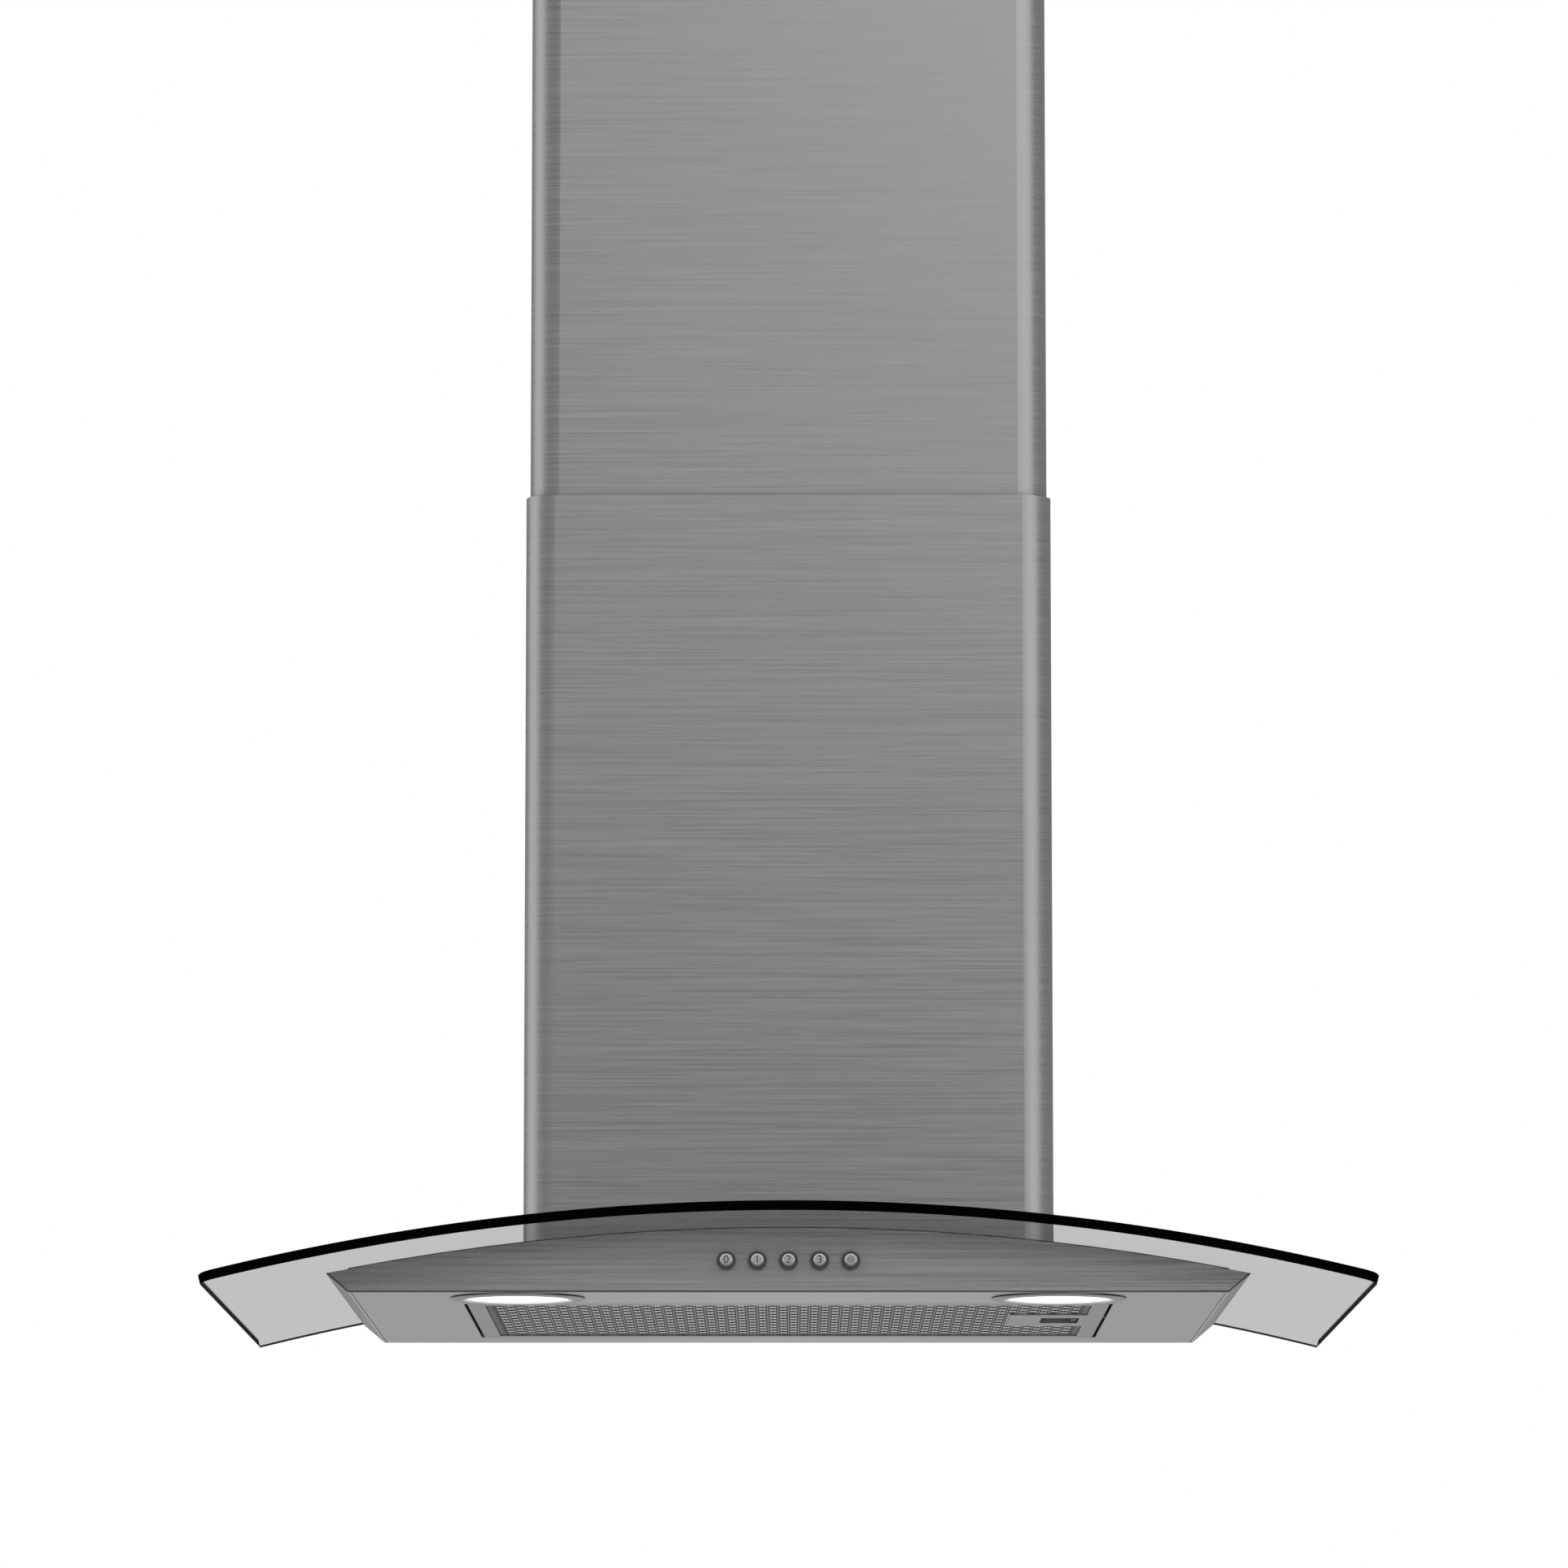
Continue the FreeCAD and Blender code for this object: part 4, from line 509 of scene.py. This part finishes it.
bpy.ops.mesh.select_all(action="SELECT")
bpy.ops.mesh.normals_make_consistent(inside=False)


def at_front_corner(edge):
    """True for the two edges through the sheet's thickness at its front corners."""
    first, second = (glass.data.vertices[index].co for index in edge.vertices)
    at_end = all(abs(point.x) > glass_high.x - GLASS_THICKNESS
                 and point.y < glass_low.y + EDGE_GRIND for point in (first, second))
    through = (first - second).length > GLASS_THICKNESS * NEARLY
    return at_end and through and abs(first.x - second.x) < GLASS_THICKNESS / 2


only(glass)
in_edit_mode(glass, [edge for edge in glass.data.edges if at_front_corner(edge)], "EDGE")
bpy.ops.mesh.bevel(offset=GLASS_CORNER, segments=CORNER_STEPS, affect="EDGES")
bpy.ops.object.mode_set(mode="OBJECT")
bpy.ops.mesh.primitive_cube_add(size=1)
notch = bpy.context.object
notch.scale = ((airbox_high.x + NOTCH_GAP) * 2, NOTCH_DEPTH * 2, 1)
carve(glass, notch)
for x, y in SCREW_PLACES:
    bpy.ops.mesh.primitive_cylinder_add(vertices=HOLE_STEPS, radius=SCREW_HOLE, depth=1,
                                        location=(x, y, 0))
    carve(glass, bpy.context.object)

smoked_glass, tree, shader = new_material("smoked_glass", GLASS_TINT, roughness=GLASS_ROUGHNESS)
shader.inputs["Specular IOR Level"].default_value = 0
sheen = add(tree, "ShaderNodeBsdfGlossy")
sheen.inputs["Roughness"].default_value = SHEEN_ROUGHNESS
surface = tree.nodes["Material Output"].inputs["Surface"]
tree.links.new(either(tree, GLASS_GLOSS, shader.outputs[0], sheen.outputs[0]), surface)
x, y, z = axes(tree)
raised = calculated(tree, "SUBTRACT", z, arch_axis)
squares = calculated(tree, "ADD", calculated(tree, "MULTIPLY", x, x),
                     calculated(tree, "MULTIPLY", raised, raised))
span = calculated(tree, "SQRT", squares)
facing = axes(tree, "ShaderNodeNewGeometry", "True Normal")
# Painted shade: the black band on the rear face's lower edge; the sides' lower edges are black
# like the cut front edge.
rims = []
for direction, height in ((facing[0], SIDE_RIM), (facing[1], REAR_SHADE_RIM)):
    toward = calculated(tree, "ABSOLUTE", direction)
    turned = calculated(tree, "GREATER_THAN", toward, HALF_TURNED)
    low_rim = calculated(tree, "LESS_THAN", span, GLASS_RADIUS + height)
    rims.append(calculated(tree, "MULTIPLY", low_rim, turned))
rim = calculated(tree, "MAXIMUM", *rims)
tree.links.new(stepped(tree, rim, ((0, GLASS_COVER), (1, 1))), shader.inputs["Alpha"])
edge_and_shade_tint = stepped(tree, rim, ((0, 1), (1, EDGE_TONE)))
tint = add(tree, "ShaderNodeRGB").outputs[0]
tint.default_value = (*GLASS_TINT, 1)
tree.links.new(mixed(tree, 1, tint, edge_and_shade_tint, "MULTIPLY"), shader.inputs["Base Color"])
glass_edge, tree, shader = new_material("glass_edge", EDGE_TONE, roughness=EDGE_ROUGHNESS)
shader.inputs["Specular IOR Level"].default_value = 0
glass.data.materials.append(smoked_glass)
glass.data.materials.append(glass_edge)
for face in glass.data.polygons:
    face.material_index = 0 if abs(face.normal.z) > NEARLY else 1
modify(glass, "BEVEL", width=EDGE_GRIND, segments=GRIND_STEPS, limit_method="ANGLE",
       angle_limit=math.radians(GRIND_ANGLE), material=1)
for face in glass.data.polygons:
    at_rear = face.normal.y > REAR_TURNED and face.center.y > -EDGE_GRIND
    at_side = (abs(face.normal.x) > NEARLY
               and abs(face.center.x) > glass_high.x - GLASS_THICKNESS)
    if at_rear or at_side:
        face.material_index = 0
only(glass)
bpy.ops.object.shade_smooth_by_angle(angle=math.radians(SMOOTH_ANGLE))
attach(glass, "hood")
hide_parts("glass_canopy")

# Push buttons
# Satin caps in dark rings, with a plain figure on each fan button and a lamp sign with
# rays on the last. The rounded rims get a painted highlight above and painted shade
# below, the cap sides get painted shade, and the rings painted shade below.
CAP_TONE = 0.44
CAP_METALLIC = 0.2
CAP_ROUGHNESS = 0.35
RIM_HIGHLIGHT_AND_SHADE = ((0, 0.1), (0.35, 0.2), (0.48, 0.8), (0.75, 1), (1, 0.6))
SIDE_SHADE_TONES = ((0, 0.07), (0.5, 0.14), (1, 0.25))
RING_TONE_AND_SHADE = ((0, 0.03), (0.45, 0.12), (0.55, 0.14), (1, 0.1))
RING_METALLIC = 0.3
RING_ROUGHNESS = 0.3
FACE_TURNED = 0.97
RIM_TURNED = 0.25
FIGURE_SIZE = 0.006
FIGURE_THINNED = 0.00002
FIGURE_DEPTH = 0.00002
FIGURE_TONE = 0.05
SIGN_RADIUS = 0.001
SIGN_LINE = 0.00014
SIGN_STEPS = (32, 6)
RAY_COUNT = 8
RAY_REACH = 0.0019
RAY_SIZE = (0.0008, 0.0001, 0.00025)
BUTTONS = ("button_0", "button_1", "button_2", "button_3", "button_light")


def painted_by_facing_up(tree, stops):
    """Painted light and shade by how far a surface faces up: zero faces down and one faces up."""
    upward = axes(tree, "ShaderNodeNewGeometry", "Normal")[2]
    return stepped(tree, calculated(tree, "MULTIPLY_ADD", upward, 0.5, 0.5), stops)


cap_material, tree, shader = new_material("button_steel", CAP_TONE, CAP_METALLIC, CAP_ROUGHNESS)
face_tone = add(tree, "ShaderNodeRGB").outputs[0]
face_tone.default_value = (CAP_TONE, CAP_TONE, CAP_TONE, 1)
facing = axes(tree, "ShaderNodeNewGeometry", "Normal")
forward = calculated(tree, "MULTIPLY", facing[1], -1)
on_rim = calculated(tree, "GREATER_THAN", forward, RIM_TURNED)
on_face = calculated(tree, "GREATER_THAN", forward, FACE_TURNED)
# Painted highlight and painted shade on the cap rims and sides, by how far they face up.
around = mixed(tree, on_rim, painted_by_facing_up(tree, SIDE_SHADE_TONES), painted_by_facing_up(tree, RIM_HIGHLIGHT_AND_SHADE))
tree.links.new(mixed(tree, on_face, around, face_tone), shader.inputs["Base Color"])
ring_material, tree, shader = new_material("bezel_steel", metallic=RING_METALLIC,
                                           roughness=RING_ROUGHNESS)
tree.links.new(painted_by_facing_up(tree, RING_TONE_AND_SHADE), shader.inputs["Base Color"])
figure_material = new_material("button_figure", FIGURE_TONE)[0]
dress(cap_material, *BUTTONS)
dress(ring_material, "button_bezels")


def mark(piece, name, button):
    """Names a finished figure or sign and ties it to its button."""
    settle(piece)
    piece.name = name
    piece.data.materials.clear()
    piece.data.materials.append(figure_material)
    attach(piece, button)


def cap_middle(button):
    """The middle of a cap's front face."""
    low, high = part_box(button)
    return (low.x + high.x) / 2, low.y, (low.z + high.z) / 2


for figure, button in zip("0123", BUTTONS):
    bpy.ops.object.text_add(location=cap_middle(button), rotation=(math.radians(90), 0, 0))
    text = bpy.context.object
    text.data.body = figure
    text.data.size = FIGURE_SIZE
    text.data.align_x = "CENTER"
    text.data.align_y = "CENTER"
    text.data.extrude = FIGURE_DEPTH
    text.data.offset = -FIGURE_THINNED
    bpy.ops.object.convert(target="MESH")
    mark(bpy.context.object, f"figure_{figure}", button)

x, y, z = cap_middle("button_light")
bpy.ops.mesh.primitive_torus_add(location=(x, y, z), rotation=(math.radians(90), 0, 0),
                                 major_segments=SIGN_STEPS[0], minor_segments=SIGN_STEPS[1],
                                 major_radius=SIGN_RADIUS, minor_radius=SIGN_LINE)
sign = bpy.context.object
rays = []
for index in range(RAY_COUNT):
    angle = 2 * math.pi * index / RAY_COUNT
    middle = (x + RAY_REACH * math.cos(angle), y, z + RAY_REACH * math.sin(angle))
    bpy.ops.mesh.primitive_cube_add(size=1, rotation=(0, -angle, 0), location=middle)
    bpy.context.object.scale = RAY_SIZE
    rays.append(bpy.context.object)
only(sign)
for ray in rays:
    ray.select_set(True)
bpy.ops.object.join()
mark(sign, "lamp_sign", "button_light")

# Lamps
# Trim rings as grey as the panel, with painted shade along their front rims, most at the
# ends of those, and round frosted lenses that are lit from behind, with their light
# painted on the rings as a glow.
TRIM_TONE = 0.6
TRIM_ROUGHNESS = 0.3
RIM_SHADE = 0.02
RIM_ENDS = ((0, 0.45), (0.4, 0.55), (0.8, 1), (1, 1))
ROLLED = (-0.6, -0.4)
FACING_FRONT = (0.1, -0.1)
PAINTED_GLOW_REACH = 0.0298
PAINTED_GLOW_STRENGTH = 0.35
PAINTED_GLOW_SHIFT = 0.0028
LENS_INSET = 0.0013
LENS_TONE = 0.6
LENS_ROUGHNESS = 0.4
LENS_FADE = 0.025
LENS_EDGE = 0.35
LENS_GLOW = 1.2
CAN_TONE = 0.6
CAN_ROUGHNESS = 0.35
lens_low, lens_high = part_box("lamp_lens_right")
lamp_middle = (lens_low + lens_high) / 2
window_radius = (lens_high.x - lens_low.x) / 2 - LENS_INSET


def from_lamp(tree, rearward=0):
    """The distance from an upright line at the nearer lamp's middle or behind it."""
    x, y, z = axes(tree)
    side = calculated(tree, "SUBTRACT", calculated(tree, "ABSOLUTE", x), lamp_middle.x)
    ahead = calculated(tree, "SUBTRACT", y, lamp_middle.y + rearward)
    squares = calculated(tree, "ADD", calculated(tree, "MULTIPLY", side, side),
                         calculated(tree, "MULTIPLY", ahead, ahead))
    return calculated(tree, "SQRT", squares)


trim_material, tree, shader = new_material("lamp_trim", TRIM_TONE, 1, TRIM_ROUGHNESS)
# Painted shade along the trim's rolled front edge, deepest at its ends.
facing = axes(tree, "ShaderNodeNewGeometry", "Normal")
front_rim = calculated(tree, "MULTIPLY", between(tree, facing[2], *ROLLED),
                       between(tree, facing[1], *FACING_FRONT))
aside = calculated(tree, "SUBTRACT", calculated(tree, "ABSOLUTE", axes(tree)[0]), lamp_middle.x)
outward = calculated(tree, "MULTIPLY", calculated(tree, "ABSOLUTE", aside), 1 / window_radius)
darkness = calculated(tree, "MULTIPLY", front_rim, stepped(tree, outward, RIM_ENDS))
rim_shade_tone = stepped(tree, darkness, ((0, TRIM_TONE), (1, RIM_SHADE)))
tree.links.new(rim_shade_tone, shader.inputs["Base Color"])
# Painted light: the trim glows round the lens, though the trim is no lamp.
glow = between(tree, from_lamp(tree, PAINTED_GLOW_SHIFT), PAINTED_GLOW_REACH, window_radius)
tree.links.new(glow, shader.inputs["Emission Color"])
shader.inputs["Emission Strength"].default_value = PAINTED_GLOW_STRENGTH
lens_material, tree, shader = new_material("lit_lens", LENS_TONE, roughness=LENS_ROUGHNESS)
toward_rim = between(tree, from_lamp(tree), LENS_FADE, window_radius)
light = stepped(tree, toward_rim, ((0, 1), (1, LENS_EDGE)))
tree.links.new(light, shader.inputs["Emission Color"])
shader.inputs["Emission Strength"].default_value = LENS_GLOW
can_material = new_material("lamp_aluminium", CAN_TONE, 1, CAN_ROUGHNESS)[0]
dress(trim_material, "lamp_bezel_left", "lamp_bezel_right")
dress(lens_material, "lamp_lens_left", "lamp_lens_right")
dress(can_material, "lamp_can_left", "lamp_can_right")

# Grease filter
# Brushed aluminium frame and handle over a darker mesh, and a black latch tab. The
# slotted sheet is flat: its rungs are bright metal, and the strips between the slots and
# the slot walls are dull and dark with painted shade, as if they lay back in a pressed
# relief, with a fine lighter line painted along their middles as a ridge.
FRAME_TONE = 0.58
HANDLE_TONE = 0.6
SMOOTH_CONTRAST = 0.03
MESH_TONE = 0.75
MESH_ROUGHNESS = 0.45
LATCH_TONE = 0.06
LATCH_ROUGHNESS = 0.45
SLOT_PITCH = 0.0056
SLOTS_END = 0.156
RUNG_METAL_STOPS = ((0, 0.25), (0.06, 0.25), (0.09, 0), (0.38, 0), (0.46, 1), (1, 1))
STRIP_SHADE_TONES = ((0, 0.07), (0.02, 0.09), (1, 0.17))
filter_aluminium = brushed("filter_aluminium", FRAME_TONE, flat_grain, SMOOTH_CONTRAST)
handle_aluminium = brushed("handle_aluminium", HANDLE_TONE, flat_grain, SMOOTH_CONTRAST)
mesh_aluminium = new_material("mesh_aluminium", MESH_TONE, 1, MESH_ROUGHNESS)[0]
latch_plastic = new_material("latch_plastic", LATCH_TONE, roughness=LATCH_ROUGHNESS)[0]
strip_shaded_aluminium = brushed("strip_shaded_aluminium", 1, flat_grain, SMOOTH_CONTRAST)
tree = strip_shaded_aluminium.node_tree
shader = tree.nodes["Principled BSDF"]
tint = shader.inputs["Base Color"]
along = calculated(tree, "ABSOLUTE", axes(tree)[0])
from_middle = calculated(tree, "PINGPONG", along, SLOT_PITCH / 2)
across = calculated(tree, "MULTIPLY", from_middle, 2 / SLOT_PITCH)
within = calculated(tree, "LESS_THAN", along, SLOTS_END)
flat = calculated(tree, "ABSOLUTE", axes(tree, "ShaderNodeNewGeometry", "True Normal")[2])
on_sheet = calculated(tree, "GREATER_THAN", flat, HALF_TURNED)
# Painted shade: the strips and slot walls lose their metal and darken; the rungs keep bright
# metal.
raised = calculated(tree, "MULTIPLY", stepped(tree, across, RUNG_METAL_STOPS),
                    calculated(tree, "MULTIPLY", on_sheet, within))
tree.links.new(raised, shader.inputs["Metallic"])
shader.inputs["Specular IOR Level"].default_value = 0
strip_shade = stepped(tree, calculated(tree, "MULTIPLY", across, on_sheet), STRIP_SHADE_TONES)
tree.links.new(mixed(tree, raised, strip_shade, tint.links[0].from_socket), tint)
dress(filter_aluminium, "filter_frame", "filter_back")
dress(strip_shaded_aluminium, "filter_face")
dress(handle_aluminium, "filter_handle")
dress(mesh_aluminium, "filter_mesh")
dress(latch_plastic, "filter_latch")

# Airbox, blower and the small parts
# Zinc plated sheet with a faint spangle for the airbox and the brackets, then moulded
# plastics, rubber and plain metals for the blower and everything small. Each row of
# PLAIN_PARTS is (material, tone, metallic, roughness, CAD nodes).
ZINC_TONE = 0.55
ZINC_ROUGHNESS = (0.34, 0.48)
SPANGLE_SCALE = 90
PLAIN_PARTS = (
    ("screw_steel", 0.55, 1, 0.3, ("glass_screws", "lower_chimney_screws", "airbox_screws",
                                   "upper_chimney_screws", "filter_pins")),
    ("black_rubber", 0.02, 0, 0.7, ("glass_washers", "glass_tape", "cable_gland")),
    ("grey_plastic", 0.28, 0, 0.45, ("blower_scroll",)),
    ("wheel_plastic", 0.03, 0, 0.4, ("fan_wheel_left", "fan_wheel_right", "fan_hub")),
    ("shaft_steel", 0.6, 1, 0.2, ("fan_shaft",)),
    ("nut_brass", (0.62, 0.47, 0.2), 1, 0.3, ("fan_nut",)),
    ("motor_aluminium", 0.5, 1, 0.45, ("motor",)),
    ("black_plastic", 0.03, 0, 0.4, ("outlet_collar", "terminal_box", "switch_bank")),
    ("flap_plastic", 0.05, 0, 0.5, ("flap_front", "flap_rear")),
    ("capacitor_plastic", 0.75, 0, 0.4, ("capacitor",)),
)
zinc_sheet, tree, shader = new_material("zinc_sheet", ZINC_TONE, metallic=1)
spangle = add(tree, "ShaderNodeTexVoronoi")
spangle.inputs["Scale"].default_value = SPANGLE_SCALE
where = add(tree, "ShaderNodeTexCoord")
tree.links.new(where.outputs["Object"], spangle.inputs["Vector"])
split = add(tree, "ShaderNodeSeparateColor")
tree.links.new(spangle.outputs["Color"], split.inputs[0])
facets = ranged(tree, split.outputs[0], 0, 1, *ZINC_ROUGHNESS)
tree.links.new(facets, shader.inputs["Roughness"])
dress(zinc_sheet, "airbox", "wall_rail", "motor_bracket", "upper_wall_bracket",
      "lower_chimney_tabs", "glass_clamps", "switch_bracket", "filter_keeper", "filter_pivots")
for name, tone, metallic, roughness, names in PLAIN_PARTS:
    dress(new_material(name, tone, metallic, roughness)[0], *names)
